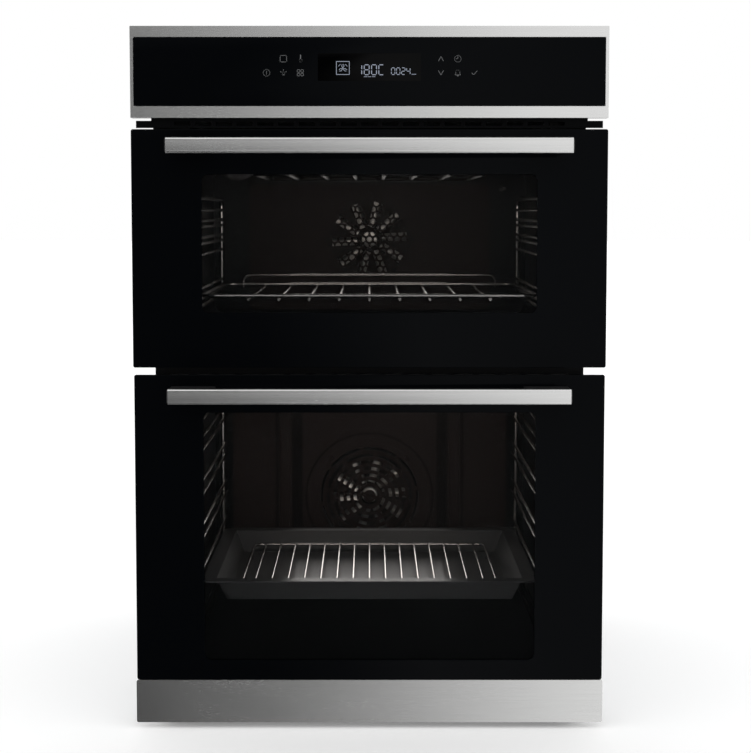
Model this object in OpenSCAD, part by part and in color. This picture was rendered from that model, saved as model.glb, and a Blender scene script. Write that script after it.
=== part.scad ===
// Built-in double oven: a 43 litre upper oven and a 68 litre lower oven under one control panel.
// X runs across the front, Y from the front to the back and Z up. The origin is the centre of the
// bounding box's footprint, at the level of the housing shelf that the oven stands on.

/* [Front] */
// Width of the doors and the control panel
front_w = 594; // [585:1:640]
// Height of the lower door
lower_door_h = 446; // [430:1:470]
// Height of the upper door
upper_door_h = 298; // [290:1:340]
// Height of the control panel
panel_h = 113; // [100:1:130]
// Gap between the two doors
door_gap = 9; // [9:1:14]
// Gap between the upper door and the control panel
panel_gap = 14; // [12:1:20]
// Height of the lower door's bottom edge above the housing shelf
front_lift = 8; // [8:1:12]
// Height of the steel strip along the foot of the lower door
strip_h = 55; // [40:1:70]

/* [Casing] */
// Width of the casing that goes into the housing
casing_w = 548; // [540:1:560]
// Height of the casing
casing_h = 875; // [870:1:960]
// Depth from the front plane of the doors to the back of the rear panel
casing_d = 566; // [556:1:600]
// Distance from the front plane to the housing's front edge
front_t = 21; // [20:1:24]
// Sheet thickness of the casing
sheet = 1.2; // [0.8:0.1:1.5]

/* [Ovens] */
// Inner width of both ovens
oven_w = 480; // [440:1:482]
// Inner depth of both ovens
oven_d = 410; // [390:1:425]
// Inner height of the upper oven
upper_oven_h = 216; // [200:1:218]
// Inner height of the lower oven
lower_oven_h = 345; // [320:1:348]
// Height of the lower oven's floor above the lower door's bottom edge
floor_lift = 63; // [60:1:66]
// Height of the upper oven's floor above the upper door's bottom edge
upper_floor_lift = 40; // [38:1:44]
// Corner radius of the oven openings
oven_r = 14; // [8:1:20]
// Sheet thickness of the enamelled ovens
oven_wall = 1.2; // [0.8:0.1:1.5]
// Thickness of the mineral wool round each oven
wool = 18; // [10:1:18]

/* [Doors] */
// Thickness of a glass pane
glass_t = 4; // [3:0.5:4]
// Width of the clear window in the printed glass
window_w = 419; // [380:1:440]
// Distance of a handle's centre line below the door's top edge
handle_drop = 22; // [18:1:40]
// Length of a handle
handle_l = 495; // [400:1:540]
// Height of a handle's face
handle_h = 19.4; // [16:0.2:24]
// Distance of a handle's face in front of the glass
handle_reach = 50; // [40:1:60]
// Radius of the hinge pins
hinge_pin_r = 3; // [2.5:0.1:3.5]

/* [Shelves] */
// Vertical distance between two shelf levels of the lower oven
level_pitch = 58; // [54:1:60]
// Gap between the two wires of a level in the upper oven
upper_level_gap = 14; // [13:0.5:16]
// Gap between the two wires of a level in the lower oven
lower_level_gap = 18; // [16:0.5:22]
// Radius of the side rack wires
rack_wire_r = 2.2; // [2:0.1:2.5]
// Radius of the shelf's outer wire
shelf_wire_r = 3; // [2.5:0.1:3.2]
// Number of bars on the wire shelf
shelf_bars = 9; // [5:2:13]
// Depth of the roasting pan
pan_depth = 30; // [25:1:40]

/* [Fans] */
// Radius of the hot air fans
fan_r = 58; // [50:1:60]
// Number of blades on a hot air fan
fan_blades = 10; // [6:1:14]
// Radius of the cooling blower's drum
drum_r = 27; // [22:1:30]
// Length of the cooling blower's drum
drum_l = 180; // [120:1:220]

/* [Hidden] */
$fn = 48;

// Screw heads and lugs stand this far behind the rear panel
rear_proud = 2;
// Y of the front plane, which puts the origin in the middle of the whole depth
front_y = -(casing_d + rear_proud - handle_reach) / 2;

// Heights of the doors and the panel
lower_door_z = front_lift;
upper_door_z = lower_door_z + lower_door_h + door_gap;
panel_z = upper_door_z + upper_door_h + panel_gap;
front_top = panel_z + panel_h;

// Planes behind the front plane
frame_y = front_t + 15;      // face that the doors close against
frame_t = 1.5;
oven_y = frame_y + frame_t;
oven_back = oven_y + oven_d;
casing_in = casing_w / 2 - sheet;

// Heights inside the ovens
lower_floor = lower_door_z + floor_lift;
lower_roof = lower_floor + lower_oven_h;
upper_floor = upper_door_z + upper_floor_lift;
upper_roof = upper_floor + upper_oven_h;
upper_fan_z = upper_floor + upper_oven_h / 2 + 5;
lower_fan_z = lower_floor + lower_oven_h / 2 - 23;

// Door pivots, which lie near the door's foot, so that an open door clears the housing's edges
pivot_y = 10;
pivot_h = 9;
upper_pivot_z = upper_door_z + pivot_h;
lower_pivot_z = lower_door_z + pivot_h;
pivot_clear = 0.05;          // running clearance of a hinge pin in its arm

// Layers of a door, front to back
ring_back = front_t - 4;     // back of the frame's outer ring
inner_back = frame_y - 4;    // back of the inner pane
inner_half = oven_w / 2 + 12;
door_edge = 4;               // the frame stands in from the glass edge by this
frame_foot = 12;             // foot of the frame above the door's bottom edge
inner_foot = 16;             // foot of the inner pane above the door's bottom edge
inner_top = 12;              // top of the inner pane below the door's top edge
seal_gap = 0.3;

// Hinges
hinge_x = casing_w / 2 - 11.5; // middle of an arm
arm_t = 3;
arm_h = 11;
arm_l = 88;
cheek_t = 2;
cheek_x = 6.5;               // middle of a cheek from the middle of the arm
hinge_body_h = 118;

// Handle mounts and bar
bar_t = 12;
mount_l = 54;
mount_h = 15;

// Control panel
glass_w = front_w - 8;
glass_h = panel_h - 28;
glass_sill = 14.4;
panel_glass_t = 3;

// Levels of the side racks, the lower wire of each pair
first_level = 44;            // lowest level above the lower oven's floor
post_over = 36;              // the lower racks' posts rise above their top level by this
post_room = 21;              // least room between those posts and the roof
lower_steps = floor((lower_oven_h - first_level - post_over - post_room) / level_pitch);
lower_levels = [for (i = [0:lower_steps]) lower_floor + first_level + i * level_pitch];
upper_levels = [for (h = [41.5, 99.5, 121.5, 143.5]) upper_floor + h];
rack_x = oven_w / 2 - 20.8;
rack_post_x = rack_x + 4.8;
rack_post_r = 3;
rack_front = oven_y + 12;
rack_back = oven_back - 34;
rest_gap = 0.3;              // what slides on a rack wire stands clear by this

// Fan covers
cover_t = 1;
cover_stand = 28;            // from the oven's back wall to the cover's face
cover_y = oven_back - cover_stand;
hole_pitch = 10.6;
hole_r = 3.9;
hole_rows = 6;               // rows above and below the middle one

// Cooling blower
drum_y = 455;
duct_z = panel_z - 18;
duct_h = 16;
scroll_r = drum_r + 12;
drum_z = duct_z + scroll_r;

function unit(v) = v / norm(v);

// A block from three ranges; Y counts back from the front plane, as in every helper below
module block(x, y, z)
    translate([x[0], front_y + y[0], z[0]])
        cube([x[1] - x[0], y[1] - y[0], z[1] - z[0]]);

// A flat X-Z outline made t thick, its face at y
module slab_y(y, t)
    translate([0, front_y + y + t, 0]) rotate([90, 0, 0]) linear_extrude(t) children();

// A flat Y-Z outline made t thick, its face at x
module slab_x(x, t)
    translate([x, front_y, 0]) rotate([90, 0, 90]) linear_extrude(t) children();

module both_sides() {
    children();
    mirror([1, 0, 0]) children();
}

module rod_x(x, y, z, r)
    translate([x[0], front_y + y, z]) rotate([0, 90, 0]) cylinder(h = x[1] - x[0], r = r);

module rod_y(x, y, z, r)
    translate([x, front_y + y[0], z]) rotate([-90, 0, 0]) cylinder(h = y[1] - y[0], r = r);

module rod_z(x, y, z, r)
    translate([x, front_y + y, z[0]]) cylinder(h = z[1] - z[0], r = r);

module ball(x, y, z, r)
    translate([x, front_y + y, z]) sphere(r = r);

// Rounded rectangle between two corners, built from squares and circles so that it stays exact
module round_rect(low, high, r) {
    translate(low + [r, 0]) square([high.x - low.x - 2 * r, high.y - low.y]);
    translate(low + [0, r]) square([high.x - low.x, high.y - low.y - 2 * r]);
    for (x = [low.x + r, high.x - r], z = [low.y + r, high.y - r])
        translate([x, z]) circle(r = r);
}

// A round wire or tube that follows points in its own X-Y plane, with bends of one radius
module bent_wire(points, bend, r) {
    last = len(points) - 1;
    dirs = [for (i = [0:last - 1]) unit(points[i + 1] - points[i])];
    turns = [for (i = [1:last - 1])
        atan2(cross(dirs[i - 1], dirs[i]), dirs[i - 1] * dirs[i])];
    trims = [0, for (t = turns) bend * tan(abs(t) / 2), 0];
    for (i = [0:last - 1]) {
        start = points[i] + dirs[i] * trims[i];
        end = points[i + 1] - dirs[i] * trims[i + 1];
        translate(start) rotate([0, 90, atan2(dirs[i].y, dirs[i].x)])
            cylinder(h = norm(end - start), r = r);
    }
    for (i = [1:last - 1]) {
        turn = turns[i - 1];
        side = sign(turn) * [-dirs[i - 1].y, dirs[i - 1].x];
        translate(points[i] - dirs[i - 1] * trims[i] + bend * side)
            rotate([0, 0, atan2(-side.y, -side.x) + min(turn, 0)])
            rotate_extrude(angle = abs(turn)) translate([bend, 0]) circle(r = r);
    }
}

// ---------------------------------------------------------------- casing

module base_panel() color("gainsboro") {
    back = casing_d - sheet;
    difference() {
        union() {
            block([-casing_in, casing_in], [oven_y, back], [0, sheet]);
            for (y = [oven_y, back - sheet])
                block([-casing_in, casing_in], [y, y + sheet], [0, arm_low - 2]);
        }
        // air slots under the lower oven
        for (i = [-5:5], y = [150, 420])
            block([i * 40 - 12, i * 40 + 12], [y - 3, y + 3], [-1, sheet + 1]);
    }
}

module side_panel() {
    difference() {
        union() {
            block([casing_in, casing_in + sheet], [oven_y, casing_d], [0, casing_h]);
            // top flange that carries the cover
            block([casing_in - 12, casing_in], [oven_y + 4, casing_d - sheet - 2],
                [casing_h - 2 * sheet, casing_h - sheet]);
        }
        // cooling slots beside the blower space, and low down beside the lower oven
        for (i = [0:9], z = [casing_h - 90, 60])
            block([casing_in - 1, casing_w / 2 + 1], [120 + i * 40, 146 + i * 40], [z, z + 5]);
        for (i = [0:9])
            block([casing_in - 1, casing_w / 2 + 1], [120 + i * 40, 146 + i * 40],
                [casing_h - 78, casing_h - 73]);
    }
}

module left_side_panel() color("gainsboro") mirror([1, 0, 0]) side_panel();

module right_side_panel() color("gainsboro") side_panel();

module top_cover() color("gainsboro")
    difference() {
        union() {
            block([-casing_in, casing_in], [oven_y, casing_d - sheet], [casing_h - sheet, casing_h]);
            block([-casing_in, casing_in], [oven_y, oven_y + sheet], [casing_h - 16, casing_h]);
        }
        // louvres over the blower and the power board
        for (i = [-6:6], y = [430, 450, 470])
            block([i * 36 - 14, i * 36 + 14], [y, y + 5], [casing_h - 2, casing_h + 1]);
        for (x = [-casing_in + 6, casing_in - 6], y = [90, 300, 520])
            rod_z(x, y, [casing_h - 3, casing_h + 1], 1.8);
    }

module rear_panel() color("gainsboro")
    difference() {
        block([-casing_in, casing_in], [casing_d - sheet, casing_d], [0, casing_h]);
        for (i = [-6:6], z = [700, 712, 724, 736, 60, 72])
            block([i * 34 - 13, i * 34 + 13], [casing_d - 3, casing_d + 1], [z, z + 5]);
        // way through to the terminal block
        slab_y(casing_d - 3, 5) round_rect([150, 800], [230, 850], 4);
        for (p = rear_screws)
            rod_y(p.x, [casing_d - 3, casing_d + 1], p.y, 1.8);
    }

rear_screws = [for (x = [-casing_in + 6, casing_in - 6], z = [40, 320, 600, 850]) [x, z]];

module casing_screws() color("silver") {
    for (p = rear_screws) {
        rod_y(p.x, [casing_d - 7, casing_d], p.y, 1.7);
        rod_y(p.x, [casing_d, casing_d + rear_proud], p.y, 4);
    }
    // the cover's screws end in the side panels' top flanges
    for (x = [-casing_in + 6, casing_in - 6], y = [90, 300, 520]) {
        rod_z(x, y, [casing_h - sheet, casing_h], 1.7);
        rod_z(x, y, [casing_h, casing_h + rear_proud], 4);
    }
}

// Mounting holes in the frame's wings
wing_x = casing_w / 2 + 14;
duct_mouth = casing_w / 2 - 44;
panel_bracket_x = casing_w / 2 - 12;
wing_hole_r = 2.75;
wing_hole_z = [130, 700];
wing_half = front_w / 2 - 1;
wing_spans = [[lower_door_z + 20, lower_door_z + lower_door_h - 14],
    [upper_door_z + 14, panel_z - 20]];
arm_low = lower_pivot_z - arm_h / 2;

module front_frame() color("dimgray") {
    half = casing_w / 2;
    difference() {
        union() {
            block([-half, half], [frame_y, oven_y], [0, panel_z]);
            both_sides() {
                // wings that lie on the housing's front edges, and the returns behind them
                for (span = wing_spans) {
                    block([half - frame_t, half], [front_t, frame_y], span);
                    block([half - frame_t, wing_half], [front_t, front_t + frame_t], span);
                }
                // posts that carry the control panel and the cover
                block([panel_bracket_x - 10, half], [frame_y, oven_y], [panel_z, casing_h - 2]);
            }
        }
        oven_opening(lower_floor, lower_oven_h, frame_y - 1, frame_t + 2);
        oven_opening(upper_floor, upper_oven_h, frame_y - 1, frame_t + 2);
        // outlet of the cooling air
        block([-duct_mouth + 2, duct_mouth - 2], [frame_y - 1, oven_y + 1],
            [duct_z + 1, duct_z + duct_h - 1]);
        both_sides() {
            for (z = wing_hole_z)
                rod_y(wing_x, [front_t - 1, front_t + frame_t + 1], z, wing_hole_r);
            // slots for the hinge arms
            for (z = [lower_pivot_z, upper_pivot_z])
                block([hinge_x - 3, hinge_x + 3], [frame_y - 1, oven_y + 1],
                    [z - arm_h / 2 - 2, z + arm_h / 2 + 2]);
        }
    }
}

// ---------------------------------------------------------------- ovens

module oven_outline(floor_z, h, grow)
    round_rect([-oven_w / 2 - grow, floor_z - grow], [oven_w / 2 + grow, floor_z + h + grow],
        oven_r + grow);

module oven_opening(floor_z, h, y, t)
    slab_y(y, t) oven_outline(floor_z, h, 0);

lamp_x = 50 - oven_w / 2;
lamp_y = 300;
lamp_hole_r = 29;
shaft_hole_r = 8;

// One oven: a welded and enamelled sheet box with a flange at its mouth
module cavity(floor_z, h, fan_z) {
    flange = 12;
    difference() {
        union() {
            slab_y(oven_y, oven_d + oven_wall) oven_outline(floor_z, h, oven_wall);
            slab_y(oven_y, oven_wall) oven_outline(floor_z, h, flange);
        }
        oven_opening(floor_z, h, oven_y - 1, oven_d + 1);
        rod_y(0, [oven_back - 1, oven_back + 5], fan_z, shaft_hole_r);
        // feed-throughs of the ring element and the probe
        for (x = [-tail_x, tail_x])
            rod_y(x, [oven_back - 1, oven_back + 5], fan_z - ring_tail, element_r + 0.3);
        rod_y(probe_x, [oven_back - 1, oven_back + 5], floor_z + h - 26, probe_r + 0.3);
        for (x = [-14, 14])
            rod_y(x, [oven_back - 1, oven_back + 5], floor_z + h - grill_drop, element_r + 0.3);
        rod_z(lamp_x, lamp_y, [floor_z + h - 1, floor_z + h + 5], lamp_hole_r);
    }
}

module upper_cavity() color([0.14, 0.12, 0.12]) cavity(upper_floor, upper_oven_h, upper_fan_z);

module lower_cavity() color([0.14, 0.12, 0.12]) cavity(lower_floor, lower_oven_h, lower_fan_z);

motor_neck_r = 15;

module wool_wrap(floor_z, h, fan_z) {
    gap = 0.3;
    from_y = oven_y + 4;
    to_y = oven_back + oven_wall + wool + gap;
    difference() {
        slab_y(from_y, to_y - from_y) oven_outline(floor_z, h, oven_wall + gap + wool);
        slab_y(from_y - 1, oven_back + oven_wall + gap - from_y + 1)
            oven_outline(floor_z, h, oven_wall + gap);
        rod_y(0, [oven_back, to_y + 1], fan_z, motor_neck_r + 2);
        for (x = [-tail_x, tail_x]) rod_y(x, [oven_back, to_y + 1], fan_z - ring_tail, 6);
        for (x = [-14, 14]) rod_y(x, [oven_back, to_y + 1], floor_z + h - grill_drop, 6);
        rod_y(probe_x, [oven_back, to_y + 1], floor_z + h - 26, 10);
        rod_z(lamp_x, lamp_y, [floor_z + h, floor_z + h + wool + 5], lamp_hole_r + 5);
        // room for the bottom element and its tails under the floor
        block([-196, 196], [oven_y + 40, oven_back - 20],
            [floor_z - oven_wall - gap - 10, floor_z]);
        block([-20, 20], [oven_back - 30, to_y + 1], [floor_z - oven_wall - gap - 10, floor_z - 0.9]);
    }
}

module insulation() color("khaki") {
    wool_wrap(upper_floor, upper_oven_h, upper_fan_z);
    wool_wrap(lower_floor, lower_oven_h, lower_fan_z);
}

module door_seal(floor_z, h)
    slab_y(inner_back + seal_gap, frame_y - inner_back - seal_gap) difference() {
        oven_outline(floor_z, h, 9);
        oven_outline(floor_z, h, 2);
    }

module upper_door_seal() color("darkslategray") door_seal(upper_floor, upper_oven_h);

module lower_door_seal() color("darkslategray") door_seal(lower_floor, lower_oven_h);

// A side rack: two posts and a pair of wires at each level, hung on two wall studs
module rack(levels, gap, post_low, post_high) {
    side_r = 10;
    mid = (rack_front + rack_back) / 2;
    translate([rack_post_x, front_y, 0]) rotate([90, 0, 90])
        bent_wire([[mid, post_low], [rack_front + 20, post_low], [rack_front + 20, post_high],
            [rack_back - 10, post_high], [rack_back - 10, post_low], [mid, post_low]],
            side_r, rack_post_r);
    for (z = levels, dz = [0, gap]) {
        rod_y(rack_x, [rack_front, rack_back], z + dz, rack_wire_r);
        ball(rack_x, rack_front, z + dz, rack_wire_r);
        ball(rack_x, rack_back, z + dz, rack_wire_r);
    }
    // studs on the oven wall that the rack hangs on
    for (y = [rack_front + 60, rack_back - 60])
        rod_x([rack_post_x - 2, oven_w / 2], y, post_high, 4);
}

module upper_rack_right() color("silver")
    rack(upper_levels, upper_level_gap, upper_floor + 30, upper_levels[3] + 30);

module upper_rack_left() color("silver") mirror([1, 0, 0])
    rack(upper_levels, upper_level_gap, upper_floor + 30, upper_levels[3] + 30);

module lower_rack_right() color("silver")
    rack(lower_levels, lower_level_gap, lower_floor + 28, lower_levels[lower_steps] + post_over);

module lower_rack_left() color("silver") mirror([1, 0, 0])
    rack(lower_levels, lower_level_gap, lower_floor + 28, lower_levels[lower_steps] + post_over);

// ---------------------------------------------------------------- heating and hot air

element_r = 3.2;
grill_drop = 11;
ring_r = 76;
tail_x = 12;                 // the ring's two tails from its middle
ring_tail = sqrt(ring_r * ring_r - tail_x * tail_x);
probe_x = 203;
probe_r = 3;

// A grill element: a serpentine tube under the roof whose two ends leave through the back wall
module grill_element(roof) {
    z = roof - grill_drop;
    near = oven_y + 50;
    far = oven_back - 74;
    mid = (near + far) / 2;
    both_sides() {
        // one half of the tube; the other is its mirror image
        translate([0, front_y, z])
            bent_wire([[14, oven_back + 34], [14, oven_back - 32], [150, oven_back - 32],
                [150, near], [106, near], [106, far], [62, far], [62, near], [20, near],
                [20, far], [0, far]], 14, element_r);
        // hangers welded to the roof
        rod_x([14, 156], mid, z + element_r + 1.6, 1.8);
        for (x = [41, 128])
            rod_z(x, mid, [z + element_r + 1.6, roof], 1.8);
    }
}

module upper_grill_element() color("dimgray") grill_element(upper_roof);

module lower_grill_element() color("dimgray") grill_element(lower_roof);

// A bottom element under the oven floor, its tails out at the back
module base_element(floor_z)
    both_sides() translate([0, front_y, floor_z - oven_wall - 4.6])
        bent_wire([[12, oven_back + 34], [12, oven_back - 40], [180, oven_back - 40],
            [180, oven_y + 60], [100, oven_y + 60], [100, oven_back - 90], [0, oven_back - 90]],
            16, element_r);

module base_elements() color("dimgray") {
    base_element(upper_floor);
    base_element(lower_floor);
}

// A ring element round the fan: one turn with its two tails through the back wall
module ring_element(fan_z) {
    y = oven_back - 13;
    split = asin(tail_x / ring_r);
    translate([0, front_y + y, fan_z]) rotate([90, 0, 0])
        rotate([0, 0, split - 90]) rotate_extrude(angle = 360 - 2 * split)
            translate([ring_r, 0]) circle(r = element_r);
    for (x = [-tail_x, tail_x]) {
        ball(x, y, fan_z - ring_tail, element_r);
        rod_y(x, [y, oven_back + 34], fan_z - ring_tail, element_r - 0.4);
    }
}

module ring_elements() color("dimgray") {
    ring_element(upper_fan_z);
    ring_element(lower_fan_z);
}

// A dished cover: its face stands off the back wall on a flange all round
module dished_cover(half, low, high, r) {
    difference() {
        slab_y(cover_y, cover_stand) round_rect([-half, low], [half, high], r);
        slab_y(cover_y + cover_t, cover_stand)
            round_rect([-half + cover_t, low + cover_t], [half - cover_t, high - cover_t],
                r - cover_t);
    }
}

upper_cover_half = oven_w / 2 - 57;
lower_cover_half = oven_w / 2 - 30;

module upper_fan_cover() color([0.16, 0.14, 0.14])
    difference() {
        dished_cover(upper_cover_half, upper_floor + 6, upper_roof - 19, 10);
        // a hexagon of round holes in front of the fan
        for (row = [-hole_rows:hole_rows]) {
            count = 2 * hole_rows + 1 - abs(row);
            for (i = [0:count - 1])
                rod_y((i - (count - 1) / 2) * hole_pitch, [cover_y - 1, cover_y + 2],
                    upper_fan_z + row * hole_pitch * sin(60), hole_r);
        }
    }

// Rings of slots in the lower cover: radius and number of slots
slot_rings = [for (k = [0:6]) [12 + k * 10.3, [2, 3, 4, 6, 6, 8, 8][k]]];
slot_w = 5;
slot_bridge = 7;             // steel left between two slots of a ring

module slot(radius, from, sweep)
    translate([0, front_y + cover_y + 2, lower_fan_z]) rotate([90, 0, 0])
        rotate([0, 0, from]) rotate_extrude(angle = sweep)
            translate([radius - slot_w / 2, 0]) square([slot_w, 3]);

module lower_fan_cover() color([0.16, 0.14, 0.14])
    difference() {
        dished_cover(lower_cover_half, lower_floor + 6, lower_roof - 34, 10);
        for (k = [0:6]) {
            ring = slot_rings[k];
            gap = slot_bridge / ring[0] * 180 / PI;
            step = 360 / ring[1];
            for (i = [0:ring[1] - 1])
                slot(ring[0], i * step + k * 17, step - gap);
        }
    }

shaft_r = 4;

// A hot air fan: a backplate with pressed-up blades, its hub and the motor's shaft
module hot_air_fan(fan_z) {
    back = oven_back - 5;
    blade_d = 17;
    rod_y(0, [back - 1, back], fan_z, fan_r);
    rod_y(0, [back - blade_d, back - 1], fan_z, 12);
    rod_y(0, [back, oven_back + 70], fan_z, shaft_r);
    for (i = [0:fan_blades - 1])
        translate([0, front_y + back - blade_d, fan_z]) rotate([0, i * 360 / fan_blades, 0])
            translate([20, 0, -0.5]) cube([fan_r - 21, blade_d - 0.5, 1]);
}

module upper_fan() color("lightgray") hot_air_fan(upper_fan_z);

module lower_fan() color("lightgray") hot_air_fan(lower_fan_z);

module fan_motor(fan_z) {
    from_y = oven_back + oven_wall;
    bore = shaft_r + pivot_clear;
    difference() {
        union() {
            rod_y(0, [from_y, from_y + 26], fan_z, motor_neck_r);
            block([-45, 45], [from_y + 26, from_y + 29], [fan_z - 20, fan_z + 20]);
            rod_y(0, [from_y + 29, from_y + 60], fan_z, 32);
            // laminations
            block([-30, 30], [from_y + 36, from_y + 52], [fan_z - 48, fan_z + 30]);
            rod_y(0, [from_y + 60, from_y + 76], fan_z, 12);
        }
        rod_y(0, [from_y - 1, from_y + 90], fan_z, bore);
    }
}

module fan_motors() color("darkgray") {
    fan_motor(upper_fan_z);
    fan_motor(lower_fan_z);
}

module lamp_holder(roof) {
    z = roof + oven_wall;
    difference() {
        union() {
            rod_z(lamp_x, lamp_y, [roof, z], lamp_hole_r - 0.2);
            rod_z(lamp_x, lamp_y, [z, z + 1.5], lamp_hole_r + 4);
            rod_z(lamp_x, lamp_y, [z + 1.5, z + 16], 20);
        }
        rod_z(lamp_x, lamp_y, [roof - 1, z + 14], 18);
    }
}

module lamp_holders() color("gainsboro") {
    lamp_holder(upper_roof);
    lamp_holder(lower_roof);
}

// A domed glass cover that screws to the holder's rim, standing into the oven
module lamp_lens(roof)
    difference() {
        union() {
            rod_z(lamp_x, lamp_y, [roof - 5, roof], lamp_hole_r);
            translate([lamp_x, front_y + lamp_y, roof - 5]) scale_dome(24, 11);
        }
        rod_z(lamp_x, lamp_y, [roof - 6, roof + 1], 20);
        translate([lamp_x, front_y + lamp_y, roof - 5]) scale_dome(21, 8.5);
    }

// A shallow dome of that radius and drop, hanging below the plane z = 0
module scale_dome(r, drop) {
    big = (r * r + drop * drop) / (2 * drop);
    intersection() {
        translate([0, 0, big - drop]) sphere(r = big, $fn = 96);
        translate([0, 0, -drop]) cylinder(h = drop, r = r);
    }
}

module lamp_lenses() color([0.9, 0.95, 1, 0.6]) {
    lamp_lens(upper_roof);
    lamp_lens(lower_roof);
}

module lamp_bulb(roof) {
    rod_z(lamp_x, lamp_y, [roof - 2, roof + oven_wall + 14], 5);
    ball(lamp_x, lamp_y, roof - 2, 5);
}

module lamp_bulbs() color("lightyellow") {
    lamp_bulb(upper_roof);
    lamp_bulb(lower_roof);
}

module temperature_probe(floor_z, h) {
    z = floor_z + h - 26;
    rod_y(probe_x, [cover_y - 20, oven_back + 20], z, probe_r);
    ball(probe_x, cover_y - 20, z, probe_r);
    rod_y(probe_x, [oven_back + oven_wall, oven_back + oven_wall + 3], z, 9);
}

module temperature_probes() color("silver") {
    temperature_probe(upper_floor, upper_oven_h);
    temperature_probe(lower_floor, lower_oven_h);
}

// ---------------------------------------------------------------- cooling air and controls

end_gap = 3;                 // from the drum's end to the housing's end plate

// The flat duct in plan, wider at its mouth
module duct_plan(inset) {
    back_half = drum_l / 2 + end_gap - inset;
    front_half = duct_mouth - inset;
    polygon([[-front_half, oven_y], [front_half, oven_y], [front_half, oven_y + 20],
        [back_half, drum_y - 40], [back_half, drum_y], [-back_half, drum_y],
        [-back_half, drum_y - 40], [-front_half, oven_y + 20]]);
}

module blower_housing() color("lightgray") {
    half = drum_l / 2 + end_gap;
    difference() {
        union() {
            rod_x([-half, half], drum_y, drum_z, scroll_r);
            translate([0, front_y, duct_z]) linear_extrude(duct_h) duct_plan(0);
        }
        rod_x([-half + 1, half - 1], drum_y, drum_z, scroll_r - 1);
        difference() {
            translate([0, front_y, duct_z + 1]) linear_extrude(duct_h - 2) duct_plan(1);
            rod_x([-half, half], drum_y, drum_z, scroll_r - 0.5);
        }
        // the duct's open mouth
        block([-duct_mouth + 2, duct_mouth - 2], [oven_y - 1, oven_y + 3],
            [duct_z + 1, duct_z + duct_h - 1]);
        // way from the scroll into the duct
        block([-half + 1, half - 1], [drum_y - scroll_r - 2, drum_y - 10],
            [duct_z + 1, duct_z + duct_h - 1]);
        // air inlet on top, and the shaft's bearings in the end plates
        block([-half + 14, half - 14], [drum_y - 14, drum_y + 14],
            [drum_z + scroll_r - 4, drum_z + scroll_r + 1]);
        rod_x([-half - 1, half + 1], drum_y, drum_z, shaft_r + pivot_clear);
    }
}

module blower_motor() color("darkgray") {
    from_x = drum_l / 2 + end_gap;
    difference() {
        union() {
            rod_x([from_x, from_x + 38], drum_y, drum_z, 24);
            block([from_x + 6, from_x + 26], [drum_y - 34, drum_y + 34], [drum_z - 28, drum_z + 28]);
            rod_x([from_x + 38, from_x + 46], drum_y, drum_z, 10);
        }
        rod_x([from_x - 1, from_x + 47], drum_y, drum_z, shaft_r + pivot_clear);
    }
}

// The blower's drum: a squirrel cage of vanes between two end rings, on its shaft
module blower_drum() color("dimgray") {
    half = drum_l / 2;
    vanes = 20;
    rod_x([-half - end_gap, half + end_gap + 40], drum_y, drum_z, shaft_r);
    for (x = [-half, -1, half - 2])
        rod_x([x, x + 2], drum_y, drum_z, drum_r);
    for (i = [0:vanes - 1])
        translate([0, front_y + drum_y, drum_z]) rotate([i * 360 / vanes, 0, 0])
            translate([-half + 1, -0.4, drum_r - 8]) cube([drum_l - 2, 0.8, 7.5]);
}

// Slotted outlet plate in the gap between the upper door and the control panel
module vent_grille() color([0.08, 0.08, 0.08]) {
    low = upper_door_z + upper_door_h + 2;
    half = front_w / 2 - 5;
    neck = casing_w / 2 - 1;
    y = 12;
    difference() {
        union() {
            block([-half, half], [y, y + 1.2], [low, panel_z - 3]);
            block([-neck, neck], [y, y + 1.2], [low, panel_z]);
            block([-neck, neck], [y, frame_y], [panel_z - 1.2, panel_z]);
        }
        for (i = [-9:9])
            block([i * 26 - 10, i * 26 + 10], [y - 1, y + 2], [low + 3, panel_z - 4]);
    }
}

fascia_d = front_t - 1;
fascia_t = 1.2;
glass_fit = 0.1;             // clearance round the control glass
display_z = panel_z + 62.5;
display_half = 64;
display_half_h = 17;

// Folded steel front of the control panel with a recess for the glass
module control_fascia() color("silver") {
    half = front_w / 2;
    glass_low = panel_z + glass_sill;
    difference() {
        union() {
            difference() {
                block([-half, half], [0, fascia_d], [panel_z, front_top]);
                block([-half + fascia_t, half - fascia_t], [4, fascia_d + 1],
                    [panel_z + fascia_t, front_top - fascia_t]);
            }
            // brackets back to the front frame's posts
            both_sides() {
                block([panel_bracket_x, panel_bracket_x + fascia_t], [3.5, frame_y],
                    [panel_z + 15, casing_h - 6]);
                block([panel_bracket_x - 10, panel_bracket_x], [frame_y - fascia_t, frame_y],
                    [panel_z + 15, casing_h - 6]);
            }
        }
        block([-glass_w / 2 - glass_fit, glass_w / 2 + glass_fit], [-1, panel_glass_t + glass_fit],
            [glass_low - glass_fit, glass_low + glass_h + glass_fit]);
        // window for the display
        block([-display_half - 1, display_half + 1], [0, 5],
            [display_z - display_half_h - 1, display_z + display_half_h + 1]);
    }
}

module control_glass() color([0.02, 0.02, 0.02])
    block([-glass_w / 2, glass_w / 2], [0, panel_glass_t],
        [panel_z + glass_sill, panel_z + glass_sill + glass_h]);

board_y = 10;

module display_module() color([0.05, 0.08, 0.1]) {
    block([-display_half, display_half], [panel_glass_t + 0.3, board_y],
        [display_z - display_half_h, display_z + display_half_h]);
}

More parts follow.
